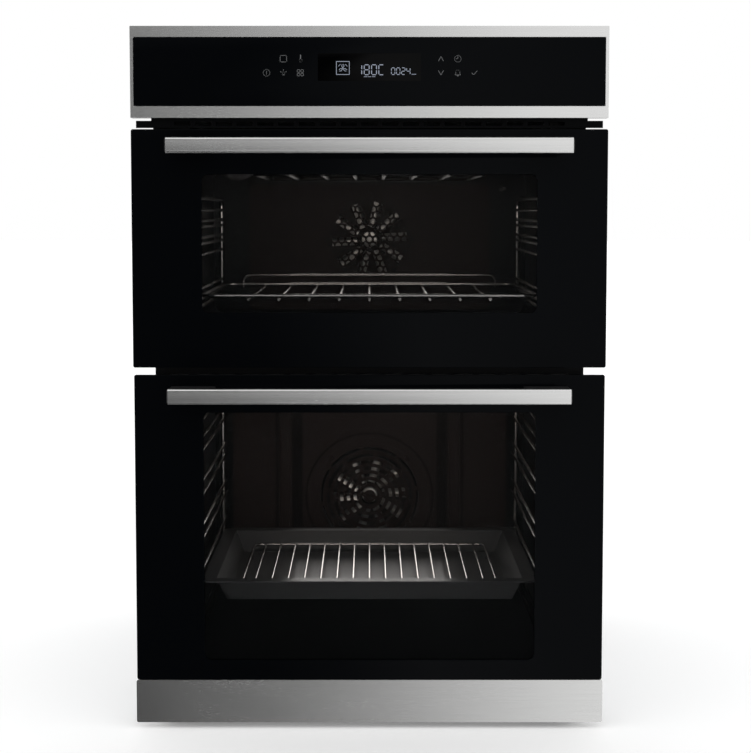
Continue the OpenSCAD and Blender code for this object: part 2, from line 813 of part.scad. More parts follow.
// Circuit board of the controls with its touch springs and stand-offs
module control_board() color("darkgreen") {
    half = 190;
    low = display_z - 28;
    high = display_z + 24;
    block([-half, half], [board_y, board_y + 1.6], [low, high]);
    for (x = [-half + 8, half - 8], z = [low + 6, high - 6])
        rod_y(x, [4, board_y], z, 3);
    for (x = [-128, -107, -86, 90, 110, 130], z = [display_z - 9, display_z + 8])
        rod_y(x, [4.2, board_y], z, 4);
    block([-40, 40], [board_y + 1.6, board_y + 9], [low + 6, low + 16]);
    block([60, 100], [board_y + 1.6, board_y + 5], [low + 8, high - 12]);
}

// Power board in its tray, fixed to the left side panel above the upper oven
module power_board() color("darkgreen") {
    z = upper_roof + 34;
    block([-casing_in, -158], [330, 520], [z, z + 2]);
    block([-casing_in, -casing_in + 2], [330, 520], [z, z + 26]);
    for (y = [350, 386, 422])
        block([-250, -226], [y, y + 26], [z + 2, z + 20]);
    rod_z(-200, 370, [z + 2, z + 24], 11);
    rod_z(-180, 420, [z + 2, z + 16], 8);
    block([-215, -170], [450, 500], [z + 2, z + 26]);
}

terminal_x = 190;
terminal_z = 825;
inlet_r = 5;

// Terminal block behind the rear panel, its cover showing through the cut-out
module terminal_block() color([0.15, 0.15, 0.16]) {
    back = casing_d - sheet;
    difference() {
        union() {
            block([terminal_x - 46, terminal_x + 46], [back - 2, back],
                [terminal_z - 31, terminal_z + 31]);
            block([terminal_x - 34, terminal_x + 34], [back - 30, casing_d + rear_proud],
                [terminal_z - 20, terminal_z + 20]);
        }
        rod_y(terminal_x, [back - 12, casing_d + rear_proud + 1], terminal_z - 8, inlet_r);
        for (x = [-20, 0, 20])
            rod_y(terminal_x + x, [back - 6, casing_d + rear_proud + 1], terminal_z + 12, 2.2);
    }
}

// ---------------------------------------------------------------- racks' loads

shelf_half = rack_post_x - rack_post_r - shelf_wire_r - 0.6;
shelf_z = upper_levels[0] + rack_wire_r + rest_gap + shelf_wire_r;
shelf_front = oven_y + 18.5;
shelf_back = shelf_front + 312;
bar_r = 1.8;
bar_pitch = 39;

// Wire shelf: a bent frame, bars welded under it and a raised guard along the back
module upper_shelf() color("silver") {
    mid = (shelf_front + shelf_back) / 2;
    lap = shelf_wire_r + bar_r - 0.5;
    translate([0, front_y, shelf_z])
        bent_wire([[-shelf_half, mid], [-shelf_half, shelf_front], [shelf_half, shelf_front],
            [shelf_half, shelf_back], [-shelf_half, shelf_back], [-shelf_half, mid]],
            18, shelf_wire_r);
    for (i = [0:shelf_bars - 1])
        rod_y((i - (shelf_bars - 1) / 2) * bar_pitch * 8 / (shelf_bars - 1),
            [shelf_front - shelf_wire_r, shelf_back + shelf_wire_r], shelf_z - lap, bar_r);
    rod_x([-shelf_half + 48, shelf_half - 48], mid, shelf_z - lap - 2 * bar_r + 0.4, bar_r);
    // guard
    translate([0, front_y + shelf_back - shelf_wire_r - bar_r + 0.5, shelf_z]) rotate([90, 0, 0])
        bent_wire([[-shelf_half + 30, -lap], [-shelf_half + 30, 14],
            [shelf_half - 30, 14], [shelf_half - 30, -lap]], 10, bar_r);
}

pan_level = 1;
pan_t = 1.2;
pan_rim_z = lower_levels[pan_level] + rack_wire_r + rest_gap;
pan_half = rack_post_x - rack_post_r - 1;
pan_front = shelf_front;
pan_back = pan_front + 336;
pan_lip = 17;
pan_taper = 14;              // how far each wall leans in on its way down

// Prism whose four walls lean in towards the bottom
module pan_body(inset, low) {
    top = pan_rim_z + 2 * pan_t;
    half = pan_half - pan_lip - inset;
    near = pan_front + pan_lip + inset;
    far = pan_back - pan_lip - inset;
    lean = pan_taper * (top - low) / (top - pan_rim_z + pan_depth);
    intersection() {
        slab_y(near, far - near)
            polygon([[-half, top], [half, top], [half - lean, low], [-half + lean, low]]);
        slab_x(-half, 2 * half)
            polygon([[near, top], [far, top], [far - lean, low], [near + lean, low]]);
    }
}

module roasting_pan() color([0.12, 0.12, 0.13]) {
    difference() {
        union() {
            translate([0, 0, pan_rim_z]) linear_extrude(pan_t)
                translate([0, front_y]) round_rect([-pan_half, pan_front], [pan_half, pan_back], 16);
            intersection() {
                pan_body(0, pan_rim_z - pan_depth);
                block([-pan_half, pan_half], [pan_front, pan_back],
                    [pan_rim_z - pan_depth, pan_rim_z + pan_t]);
            }
        }
        pan_body(pan_t, pan_rim_z - pan_depth + pan_t);
    }
}

// Wire trivet standing in the pan
module pan_trivet() color("silver") {
    r = 2;
    floor_z = pan_rim_z - pan_depth + pan_t;
    z = floor_z + 14;
    half = 172;
    near = pan_front + 44;
    far = pan_back - 44;
    mid = (near + far) / 2;
    translate([0, front_y, z])
        bent_wire([[-half, mid], [-half, near], [half, near], [half, far], [-half, far],
            [-half, mid]], 14, r);
    for (i = [-7:7])
        rod_y(i * 22, [near, far], z + r + 0.8, 1.4);
    for (x = [-half, half], y = [near + 40, far - 40]) {
        rod_z(x, y, [floor_z + 2, z], r - 0.4);
        ball(x, y, floor_z + 2, r - 0.4);
    }
}

// ---------------------------------------------------------------- doors

ring_half = front_w / 2 - door_edge;
opening_half = oven_w / 2 - 15;
opening_top = 32;            // top of the frame's opening below the door's top edge
rebate = 6;
pane_fit = 0.3;
stud_r = 3.5;
stud_x = handle_l / 2 - mount_l / 2;

module outer_glass(half, low, high)
    difference() {
        slab_y(0, glass_t) round_rect([-half, low], [half, high], 2.5);
        for (x = [-stud_x, stud_x])
            rod_y(x, [-1, glass_t + 1], high - handle_drop, stud_r + 0.5);
    }

module middle_glass(foot, high)
    block([-opening_half - rebate + pane_fit, opening_half + rebate - pane_fit],
        [ring_back - glass_t, ring_back],
        [foot - rebate + pane_fit, high - opening_top + rebate - pane_fit]);

module inner_glass(low, high)
    slab_y(inner_back - glass_t, glass_t)
        round_rect([-inner_half, low + inner_foot], [inner_half, high - inner_top], 4);

// Frame of a door: low and high are the door's edges, foot is the lower edge of its opening
module door_frame(low, high, foot) {
    pivot_z = low + pivot_h;
    wall = 3;
    tube = inner_half - 2;
    difference() {
        union() {
            slab_y(glass_t, ring_back - glass_t) difference() {
                round_rect([-ring_half, low + frame_foot], [ring_half, high - 9], 2);
                round_rect([-opening_half, foot], [opening_half, high - opening_top], 6);
            }
            // box between the ring and the inner pane
            slab_y(ring_back, inner_back - glass_t - ring_back) difference() {
                round_rect([-tube, low + inner_foot + 2], [tube, high - inner_top - 2], 4);
                round_rect([-tube + wall, low + inner_foot + 2 + wall],
                    [tube - wall, high - inner_top - 2 - wall], 2);
            }
            // lip that holds the middle pane
            slab_y(ring_back, 1.5) difference() {
                round_rect([-tube, low + inner_foot + 2], [tube, high - inner_top - 2], 4);
                round_rect([-opening_half - 2, foot - 2],
                    [opening_half + 2, high - opening_top + 2], 6);
            }
        }
        block([-opening_half - rebate, opening_half + rebate],
            [ring_back - glass_t - pane_fit, ring_back], [foot - rebate, high - opening_top + rebate]);
        // pockets for the hinges, open at the foot and the back
        both_sides()
            block([hinge_x - 9.5, hinge_x + 9.5], [glass_t - 1, ring_back + 1],
                [low + frame_foot - 1, pivot_z + hinge_body_h + 1]);
        for (x = [-stud_x, stud_x])
            rod_y(x, [glass_t - 1, glass_t + 8], high - handle_drop, stud_r + 0.1);
    }
}

// Slotted cap along the top of a door
module top_trim(high)
    difference() {
        block([-ring_half, ring_half], [glass_t, inner_back], [high - 9, high - 1.5]);
        for (i = [-8:8])
            block([i * 30 - 11, i * 30 + 11], [18, 24], [high - 10, high]);
        both_sides() block([inner_half + 1, ring_half + 1], [ring_back, inner_back + 1],
            [high - 10, high]);
    }

// Hinge body in a door: a channel round the arm's end, its pin and a tab on the frame
module door_hinge(pivot_z) {
    high = pivot_z + hinge_body_h;
    outer = cheek_x + cheek_t / 2;
    for (x = [-cheek_x, cheek_x])
        slab_x(hinge_x + x - cheek_t / 2, cheek_t) {
            translate([pivot_y, pivot_z]) circle(r = 5);
            translate([pivot_y - 5, pivot_z]) square([10, frame_foot - pivot_h + 1]);
            translate([5, pivot_z + frame_foot - pivot_h]) square([24, 30]);
            translate([5, pivot_z + frame_foot - pivot_h]) square([12, hinge_body_h - 3]);
        }
    block([hinge_x - outer, hinge_x + outer], [5, 6.5], [pivot_z + arm_h / 2 + 3, high]);
    rod_x([hinge_x - outer, hinge_x + outer], pivot_y, pivot_z, hinge_pin_r);
    block([hinge_x - outer, hinge_x + outer], [5, ring_back], [high - 2, high]);
    // tab screwed to the back of the frame
    block([hinge_x - outer, hinge_x + outer], [ring_back, ring_back + 1.5], [high - 2, high + 22]);
    rod_y(hinge_x, [ring_back + 1.5, ring_back + 3.5], high + 14, 4);
}

// Arm fixed behind the front frame, reaching forward through its slot to the pin
module hinge_arm(pivot_z) {
    difference() {
        union() {
            slab_x(hinge_x - arm_t / 2, arm_t) {
                translate([pivot_y, pivot_z]) circle(r = arm_h / 2);
                translate([pivot_y, pivot_z - arm_h / 2]) square([arm_l, arm_h]);
                translate([pivot_y + 50, pivot_z]) square([arm_l - 50, 26]);
            }
            // flange welded to the back of the frame
            block([hinge_x - arm_t / 2, hinge_x + 9], [oven_y, oven_y + 2],
                [pivot_z - 7, pivot_z + 34]);
        }
        rod_x([hinge_x - 5, hinge_x + 5], pivot_y, pivot_z, hinge_pin_r + pivot_clear);
        rod_x([hinge_x - 5, hinge_x + 5], pivot_y + arm_l - 12, pivot_z + 16, 3);
    }
}

module hinge_arms() color("silver") both_sides() {
    hinge_arm(upper_pivot_z);
    hinge_arm(lower_pivot_z);
}

// Hollow extruded bar with a rounded top and bottom edge
module handle_bar(z)
    translate([-handle_l / 2, front_y - handle_reach, z - handle_h / 2]) rotate([90, 0, 90])
        linear_extrude(handle_l) difference() {
            round_rect([0, 0], [bar_t, handle_h], 2.5);
            translate([2, 2]) square([bar_t - 4, handle_h - 4]);
        }

// End blocks between the bar and the door, each with a stud through the glass
module handle_mounts(z)
    both_sides() {
        near = -handle_reach + bar_t;
        block([handle_l / 2 - mount_l, handle_l / 2], [near, 0], [z - mount_h / 2, z + mount_h / 2]);
        rod_y(stud_x, [0, glass_t + 7], z, stud_r);
        // cap over the end of the bar, with a plug inside it
        block([handle_l / 2, handle_l / 2 + 1.5], [-handle_reach + 2, 0],
            [z - mount_h / 2, z + mount_h / 2]);
        block([handle_l / 2 - 18, handle_l / 2], [-handle_reach + 2.1, near - 2.1],
            [z - handle_h / 2 + 2.1, z + handle_h / 2 - 2.1]);
    }

upper_top = upper_door_z + upper_door_h;
lower_top = lower_door_z + lower_door_h;
upper_foot = upper_door_z + 52;
lower_foot = lower_door_z + strip_h + 5;

module upper_door_outer_glass() color([0.03, 0.03, 0.03, 0.9])
    outer_glass(front_w / 2, upper_door_z, upper_top);

module upper_door_middle_glass() color([0.5, 0.55, 0.5, 0.4])
    middle_glass(upper_foot, upper_top);

module upper_door_inner_glass() color([0.5, 0.55, 0.5, 0.4])
    inner_glass(upper_door_z, upper_top);

module upper_door_frame() color([0.2, 0.2, 0.2])
    door_frame(upper_door_z, upper_top, upper_foot);

module upper_door_top_trim() color([0.12, 0.12, 0.12]) top_trim(upper_top);

module upper_door_hinges() color("silver") both_sides() door_hinge(upper_pivot_z);

module upper_handle_bar() color("silver") handle_bar(upper_top - handle_drop);

module upper_handle_mounts() color([0.06, 0.06, 0.06]) handle_mounts(upper_top - handle_drop);

module lower_door_outer_glass() color([0.03, 0.03, 0.03, 0.9])
    outer_glass(front_w / 2 - 1, lower_door_z + strip_h + 0.5, lower_top);

module lower_door_middle_glass() color([0.5, 0.55, 0.5, 0.4])
    middle_glass(lower_foot, lower_top);

module lower_door_inner_glass() color([0.5, 0.55, 0.5, 0.4])
    inner_glass(lower_door_z, lower_top);

module lower_door_frame() color([0.2, 0.2, 0.2])
    door_frame(lower_door_z, lower_top, lower_foot);

module lower_door_top_trim() color([0.12, 0.12, 0.12]) top_trim(lower_top);

module lower_door_hinges() color("silver") both_sides() door_hinge(lower_pivot_z);

// Folded steel strip along the foot of the lower door
module lower_door_strip() color("silver")
    difference() {
        slab_y(0, glass_t)
            round_rect([-front_w / 2, lower_door_z], [front_w / 2, lower_door_z + strip_h], 2.5);
        block([-front_w / 2 + 1.2, front_w / 2 - 1.2], [1.2, glass_t + 1],
            [lower_door_z + 1.2, lower_door_z + strip_h - 1.2]);
    }

module lower_handle_bar() color("silver") handle_bar(lower_top - handle_drop);

module lower_handle_mounts() color([0.06, 0.06, 0.06]) handle_mounts(lower_top - handle_drop);

base_panel();
left_side_panel();
right_side_panel();
top_cover();
rear_panel();
front_frame();
upper_cavity();
lower_cavity();
insulation();
upper_door_seal();
lower_door_seal();
upper_rack_left();
upper_rack_right();
lower_rack_left();
lower_rack_right();
upper_grill_element();
lower_grill_element();
base_elements();
ring_elements();
upper_fan_cover();
lower_fan_cover();
fan_motors();
lamp_holders();
lamp_lenses();
lamp_bulbs();
blower_housing();
blower_motor();
vent_grille();
control_fascia();
control_glass();
display_module();
control_board();
power_board();
terminal_block();
temperature_probes();
hinge_arms();
casing_screws();
upper_fan();
lower_fan();
blower_drum();
upper_shelf();
roasting_pan();
pan_trivet();
upper_door_outer_glass();
upper_door_middle_glass();
upper_door_inner_glass();
upper_door_frame();
upper_door_top_trim();
upper_door_hinges();
upper_handle_bar();
upper_handle_mounts();
lower_door_outer_glass();
lower_door_middle_glass();
lower_door_inner_glass();
lower_door_frame();
lower_door_top_trim();
lower_door_hinges();
lower_door_strip();
lower_handle_bar();
lower_handle_mounts();
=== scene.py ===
import math

import bmesh
import bpy
from mathutils import Matrix, Vector


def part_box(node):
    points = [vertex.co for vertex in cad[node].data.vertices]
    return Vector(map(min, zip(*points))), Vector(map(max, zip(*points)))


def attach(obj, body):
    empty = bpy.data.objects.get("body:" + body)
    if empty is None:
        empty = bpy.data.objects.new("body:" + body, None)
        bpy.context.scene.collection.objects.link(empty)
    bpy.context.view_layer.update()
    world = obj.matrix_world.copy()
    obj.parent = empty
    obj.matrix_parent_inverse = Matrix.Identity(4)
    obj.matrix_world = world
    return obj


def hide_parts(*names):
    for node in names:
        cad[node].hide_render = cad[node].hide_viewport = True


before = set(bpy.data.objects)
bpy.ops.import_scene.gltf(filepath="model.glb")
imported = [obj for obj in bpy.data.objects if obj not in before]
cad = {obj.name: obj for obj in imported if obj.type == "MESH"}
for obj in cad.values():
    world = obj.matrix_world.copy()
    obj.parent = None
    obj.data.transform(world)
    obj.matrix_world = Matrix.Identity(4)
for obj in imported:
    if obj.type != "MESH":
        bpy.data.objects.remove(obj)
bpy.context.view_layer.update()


# ---------------------------------------------------------------- casing
# The casing is folded from hot dip galvanised sheet: base, two sides, rear panel and cover. The
# zinc crystals show as large flat flakes, dulled by handling. Rear and cover are screwed on.

class Wire:
    """A shader socket on which sums and products can be written; each adds its Math node."""

    def __init__(self, paint, socket):
        self.paint, self.socket = paint, socket

    def maths(self, operation, *others, clamp=False):
        node = self.paint.tree.nodes.new("ShaderNodeMath")
        node.operation, node.use_clamp = operation, clamp
        for entry, value in zip(node.inputs, (self, *others)):
            self.paint.feed(entry, value)
        return Wire(self.paint, node.outputs[0])

    def __add__(self, other):
        return self.maths("ADD", other)

    def __sub__(self, other):
        return self.maths("SUBTRACT", other)

    def __rsub__(self, other):
        return (self * -1.0).maths("ADD", other)

    def __mul__(self, other):
        return self.maths("MULTIPLY", other)

    def __abs__(self):
        return self.maths("ABSOLUTE")

    __radd__ = __add__
    __rmul__ = __mul__

    def clip(self):
        return self.maths("ADD", 0.0, clamp=True)

    def step(self, low, high):
        """0 below low and 1 above high, straight between."""
        return ((self - low) * (1.0 / (high - low))).clip()


class Paint:
    """A material round one Principled shader, whose even values are set on its own sockets."""

    def __init__(self, name, colour, rough, **even):
        self.material = bpy.data.materials.new(name)
        self.material.use_nodes = True
        self.tree = self.material.node_tree
        self.shader = self.tree.nodes["Principled BSDF"]
        even.update(Roughness=rough)
        for socket, value in even.items():
            self.shader.inputs[socket.replace("_", " ")].default_value = value
        self.shader.inputs["Base Color"].default_value = (*colour, 1.0)
        self.colour = (*colour, 1.0)
        self.material.diffuse_color = self.colour
        self.place = self.add("ShaderNodeTexCoord", out="Object")

    def feed(self, entry, value):
        if isinstance(value, Wire):
            self.tree.links.new(value.socket, entry)
        else:
            entry.default_value = value

    def add(self, kind, settings=None, out=0, **feeds):
        """Any other node: its settings first, then the values or links of its sockets."""
        node = self.tree.nodes.new(kind)
        for key, value in (settings or {}).items():
            setattr(node, key, value)
        for key, value in feeds.items():
            name = key.replace("_", " ")
            entry = next(s for s in node.inputs if s.name == name and s.enabled)
            self.feed(entry, value)
        return Wire(self, node.outputs[out])

    def stretched(self, scale, shift=(0, 0, 0)):
        return self.add("ShaderNodeMapping", Vector=self.place, Scale=scale, Location=shift)

    def noise(self, size, detail=3.0, stretch=(1, 1, 1), rough=0.5, shift=(0, 0, 0)):
        return self.add("ShaderNodeTexNoise", Vector=self.stretched(stretch, shift=shift),
                        Scale=1.0 / size, Detail=detail, Roughness=rough)

    def blend(self, share, low, high):
        """A colour between two others."""
        return self.add("ShaderNodeMix", {"data_type": "RGBA"}, out=2, Factor=share, A=low,
                        B=high)

    def shade(self, share, low, high):
        """The paint's own colour, from low to high times its brightness."""
        dim = [tuple(min(1.0, c * k) for c in self.colour[:3]) + (1.0,) for k in (low, high)]
        return self.blend(share, *dim)

    def bump(self, height, depth):
        self.set("Normal", self.add("ShaderNodeBump", Height=height, Distance=depth))

    def set(self, socket, wire):
        self.tree.links.new(wire.socket, self.shader.inputs[socket])

    def axes(self):
        node = self.tree.nodes.new("ShaderNodeSeparateXYZ")
        self.tree.links.new(self.place.socket, node.inputs[0])
        return [Wire(self, o) for o in node.outputs]


def coat(node_names, paint):
    """Gives carried-over CAD nodes their finish."""
    for name in node_names:
        mesh = cad[name].data
        mesh.materials.clear()
        mesh.materials.append(paint.material)


def galvanised(name, colour=(0.50, 0.51, 0.52)):
    zinc = Paint(name, colour, 0.42, Metallic=1.0)
    flakes = zinc.add("ShaderNodeTexVoronoi", {"feature": "F1"}, out="Color",
                      Vector=zinc.place, Scale=85.0, Randomness=1.0)
    grey = zinc.add("ShaderNodeSeparateColor", Color=flakes)
    cloud = zinc.noise(0.16, 4.0)
    fine = zinc.noise(0.004, 3.0)
    zinc.set("Base Color", zinc.shade(grey * 0.5 + cloud * 0.5, 0.72, 1.14))
    zinc.set("Roughness", 0.30 + grey * 0.16 + cloud * 0.12)
    zinc.bump(fine * 0.4 + grey * 0.6, 0.00008)
    return zinc


zinc_sheet = galvanised("zinc_sheet")
coat(["base_panel", "left_side_panel", "right_side_panel", "top_cover", "rear_panel"], zinc_sheet)


# ---------------------------------------------------------------- casing screws
# Hexagon head screws of zinc plated steel, each with a pressed flange, hold the rear panel and
# the cover to the folded edges of the sides.

MM = 0.001
HEAD_H = 2.0 * MM
FLANGE_R, HEXAGON_R = 5.0 * MM, 3.4 * MM


def loose_parts(name):
    """The boxes of a CAD node's separate bodies."""
    whole = bmesh.new()
    whole.from_mesh(cad[name].data)
    bmesh.ops.remove_doubles(whole, verts=whole.verts[:], dist=1e-6)
    left, boxes = dict.fromkeys(whole.verts), []
    while left:
        heap = [left.popitem()[0]]
        low, high = heap[0].co.copy(), heap[0].co.copy()
        while heap:
            point = heap.pop()
            low = Vector(map(min, low, point.co))
            high = Vector(map(max, high, point.co))
            for edge in point.link_edges:
                near = edge.other_vert(point)
                if near in left:
                    del left[near]
                    heap.append(near)
        boxes.append((low, high))
    whole.free()
    return boxes


def made(name, form, paint, body, replaced=None, crease=35):
    """One piece from its bmesh, smooth but for edges sharper than the crease."""
    bmesh.ops.recalc_face_normals(form, faces=form.faces[:])
    for face in form.faces:
        face.smooth = True
    mesh = bpy.data.meshes.new(name)
    form.to_mesh(mesh)
    form.free()
    mesh.set_sharp_from_angle(angle=math.radians(crease))
    mesh.materials.append(paint.material)
    piece = bpy.data.objects.new(name, mesh)
    bpy.context.scene.collection.objects.link(piece)
    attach(piece, body)
    if replaced:
        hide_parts(replaced)
    return piece


def bevelled(form, edges, radius, segments=3):
    bmesh.ops.bevel(form, geom=edges, offset=radius, offset_type="OFFSET",
                    segments=segments, profile=0.5, affect="EDGES", clamp_overlap=True,
                    material=-1)


def edges_of(verts):
    """The edges that meet some corners, each once."""
    return list(dict.fromkeys(e for v in verts for e in v.link_edges))


def disc(form, at, outward, radius, low, high, sides=24, dome=0.0):
    """A disc on an axis from low to high, its outer rim rounded by dome."""
    place = Matrix.Translation(at) @ Vector((0, 0, 1)).rotation_difference(outward).to_matrix(
        ).to_4x4() @ Matrix.Translation((0, 0, (low + high) / 2))
    verts = bmesh.ops.create_cone(form, cap_ends=True, segments=sides, radius1=radius,
                                  radius2=radius, depth=high - low, matrix=place)["verts"]
    if dome:
        top = place @ Vector((0, 0, (high - low) / 2))
        rim = [v for v in verts if abs((v.co - top).dot(outward)) < 1e-6]
        bevelled(form, [e for e in edges_of(rim)
                        if all(abs((u.co - top).dot(outward)) < 1e-6 for u in e.verts)], dome)
    return verts


zinc_plate = Paint("zinc_plate", (0.52, 0.52, 0.50), 0.36, Metallic=1.0)
zinc_cloud = zinc_plate.noise(0.012, 4.0)
zinc_plate.set("Base Color", zinc_plate.shade(zinc_cloud, 0.75, 1.1))
zinc_plate.set("Roughness", 0.28 + zinc_cloud * 0.2)
form = bmesh.new()
for low, high in loose_parts("casing_screws"):
    # A screw past the rear panel's face points backwards, any other one points up.
    axis = 1 if high.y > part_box("rear_panel")[1].y else 2
    outward, seat = Vector((0, 0, 0)), (low + high) / 2
    outward[axis] = 1.0
    seat[axis] = high[axis] - HEAD_H
    disc(form, seat, outward, FLANGE_R, 0.0, HEAD_H * 0.35, dome=0.3 * MM)
    disc(form, seat, outward, HEXAGON_R, HEAD_H * 0.3, HEAD_H, sides=6, dome=0.45 * MM)
made("casing_screw_heads", form, zinc_plate, "chassis", "casing_screws")


# ---------------------------------------------------------------- front frame and hinge arms
# One black painted sheet closes the casing in front. Its wings are screwed to the housing, and
# the hinge arms behind it reach out through slots. The paint is a satin powder coat.

def powder_coat(name, colour, rough=0.42):
    satin = Paint(name, colour, rough, Specular_IOR_Level=0.12)
    peel = satin.noise(0.0012, 2.0)
    wear = satin.noise(0.05, 4.0)
    satin.set("Base Color", satin.shade(wear, 0.8, 1.35))
    satin.set("Roughness", rough - 0.06 + wear * 0.12)
    satin.bump(peel, 0.00006)
    return satin


black_sheet = powder_coat("black_sheet", (0.0035, 0.0036, 0.0042))
coat(["front_frame"], black_sheet)
coat(["hinge_arms", "upper_door_hinges", "lower_door_hinges"], zinc_plate)


# ---------------------------------------------------------------- ovens
# Each oven is a welded steel box with two coats of near-black enamel, in which pale specks show.
# Mineral wool wraps it, a woven cord seals its mouth, and bent wire racks hang on studs inside.

def enamelled(name, colour=(0.0042, 0.0040, 0.0044), rough=0.3, shine=0.25):
    enamel = Paint(name, colour, rough, Specular_IOR_Level=shine)
    cells = enamel.add("ShaderNodeTexVoronoi", {"feature": "F1"}, out="Distance",
                       Vector=enamel.place, Scale=420.0, Randomness=1.0)
    speck = 1.0 - cells.step(0.10, 0.16)
    rare = enamel.noise(0.006, 1.0).step(0.52, 0.6)
    cloud = enamel.noise(0.09, 3.0)
    ground = enamel.shade(cloud, 0.85, 1.2)
    enamel.ground = enamel.blend(speck * rare * 0.35, ground, (0.05, 0.05, 0.055, 1.0))
    enamel.set("Base Color", enamel.ground)
    enamel.set("Roughness", rough - 0.05 + cloud * 0.12)
    enamel.bump(enamel.noise(0.010, 2.0), 0.00012)
    return enamel


# Painted shade: the cavities' enamel is painted far darker than the fan covers' enamel to stand
# for the shade inside the ovens.
shaded_oven_enamel = enamelled("shaded_oven_enamel")
coat(["upper_cavity", "lower_cavity"], shaded_oven_enamel)

wool = Paint("mineral_wool", (0.55, 0.47, 0.26), 0.95)
fibres = wool.noise(0.004, 6.0, stretch=(1, 1, 3))
wool.set("Base Color", wool.shade(fibres, 0.6, 1.25))
wool.bump(fibres, 0.002)
coat(["insulation"], wool)

seal_cord = Paint("seal_cord", (0.035, 0.034, 0.033), 0.85)
braid = seal_cord.add("ShaderNodeTexVoronoi", {"feature": "F1"}, out="Distance",
                      Vector=seal_cord.place, Scale=700.0)
seal_cord.set("Base Color", seal_cord.shade(braid, 0.5, 2.0))
seal_cord.bump(braid, 0.0008)
coat(["upper_door_seal", "lower_door_seal"], seal_cord)

bright_wire = Paint("bright_wire", (0.62, 0.60, 0.58), 0.18, Metallic=1.0)
tarnish = bright_wire.noise(0.02, 4.0)
bright_wire.set("Base Color", bright_wire.shade(tarnish, 0.72, 1.08))
bright_wire.set("Roughness", 0.13 + tarnish * 0.16)
coat(["upper_rack_left", "upper_rack_right", "lower_rack_left", "lower_rack_right",
      "upper_shelf", "pan_trivet"], bright_wire)


# ---------------------------------------------------------------- heating elements
# Tubular elements of steel run under the roof, under the floor and round each fan. They are bent
# from one tube each, and heat has oxidised them to a rough grey brown.

tube = Paint("element_tube", (0.030, 0.027, 0.025), 0.55, Metallic=0.5)
scale_spots = tube.noise(0.008, 5.0)
tube.set("Base Color", tube.shade(scale_spots, 0.6, 1.5))
tube.set("Roughness", 0.4 + scale_spots * 0.25)
tube.bump(scale_spots, 0.0002)
coat(["upper_grill_element", "lower_grill_element", "base_elements", "ring_elements"], tube)


# ---------------------------------------------------------------- hot air fans
# Each fan is one disc of bare steel with ten vanes pressed up from it and a hub with a lock nut.
# The disc behind the vanes is painted dark, a painted shade under the vanes, and made rougher.

FAN_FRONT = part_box("upper_fan")[0].y
DISC_Y = FAN_FRONT + 16 * MM
VANES, VANE_T, VANE_W = 10, 0.8 * MM, 17 * MM
VANE_INNER, VANE_CUP, VANE_LEAN = 19 * MM, 90, 38
HUB_R, HUB_H = 12 * MM, 12 * MM
NUT_R, NUT_TOP, SHAFT_R = 6 * MM, 15.5 * MM, 4 * MM

fan_sheet = Paint("fan_sheet", (0.60, 0.58, 0.55), 0.36, Metallic=1.0)
fan_cloud = fan_sheet.noise(0.015, 4.0)
_, y, _ = fan_sheet.axes()
# Painted shade: the back disc is darkened to stand for the shadow under the vanes.
painted_disc_shade = y.step(DISC_Y - 2.0 * MM, DISC_Y - 1.0 * MM)
fan_sheet.set("Base Color", fan_sheet.blend(painted_disc_shade, fan_sheet.shade(fan_cloud, 0.75, 1.1),
                                            (0.035, 0.031, 0.029, 1.0)))
fan_sheet.set("Roughness", 0.3 + fan_cloud * 0.15 + painted_disc_shade * 0.2)

for fan in ("upper_fan", "lower_fan"):
    low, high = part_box(fan)
    out_r, middle_z = high.x, (low.z + high.z) / 2
    seat, forward = Vector((0, DISC_Y, middle_z)), Vector((0, -1, 0))
    outer = out_r - 1 * MM
    form = bmesh.new()
    disc(form, seat, forward, out_r, -1 * MM, 0, 64)
    for i in range(VANES):
        vane = bmesh.new()
        bmesh.ops.create_grid(vane, x_segments=4, y_segments=5, size=0.5)
        bmesh.ops.scale(vane, vec=(outer - VANE_INNER, VANE_W, 1.0), verts=vane.verts[:])
        for vert in vane.verts:
            vert.co.z = VANE_CUP * vert.co.y * vert.co.y
            vert.co.y *= 0.72 + 0.28 * (vert.co.x / (outer - VANE_INNER) + 0.5)
        bmesh.ops.solidify(vane, geom=vane.faces[:], thickness=VANE_T)
        turn = (Matrix.Translation((0, low.y + 8.6 * MM, middle_z))
                @ Matrix.Rotation(2 * math.pi * i / VANES, 4, "Y")
                @ Matrix.Translation(((VANE_INNER + outer) / 2, 0, 0))
                @ Matrix.Rotation(math.radians(90 - VANE_LEAN), 4, "X"))
        bmesh.ops.transform(vane, matrix=turn, verts=vane.verts[:])
        leaf = bpy.data.meshes.new("vane")
        vane.to_mesh(leaf)
        vane.free()
        form.from_mesh(leaf)
        bpy.data.meshes.remove(leaf)
    disc(form, seat, forward, HUB_R, 0, HUB_H, 32, dome=1 * MM)
    disc(form, seat, forward, NUT_R, HUB_H, NUT_TOP, 6, dome=0.5 * MM)
    disc(form, seat, forward, SHAFT_R, 1 * MM - (high.y - DISC_Y), 0, 24)
    made(fan + "_wheel", form, fan_sheet, fan, fan)


# ---------------------------------------------------------------- fan covers
# A dished and enamelled cover stands before each fan. The lower one has pressed ribs round its
# rings of slots, browned by use, and four enamelled screws. Its round groove and its channels are
# only painted dark, as painted shade.

def cover_enamel(name):
    return enamelled(name, (0.028, 0.0185, 0.0172), 0.42, 0.08)


coat(["upper_fan_cover"], cover_enamel("upper_cover_enamel"))

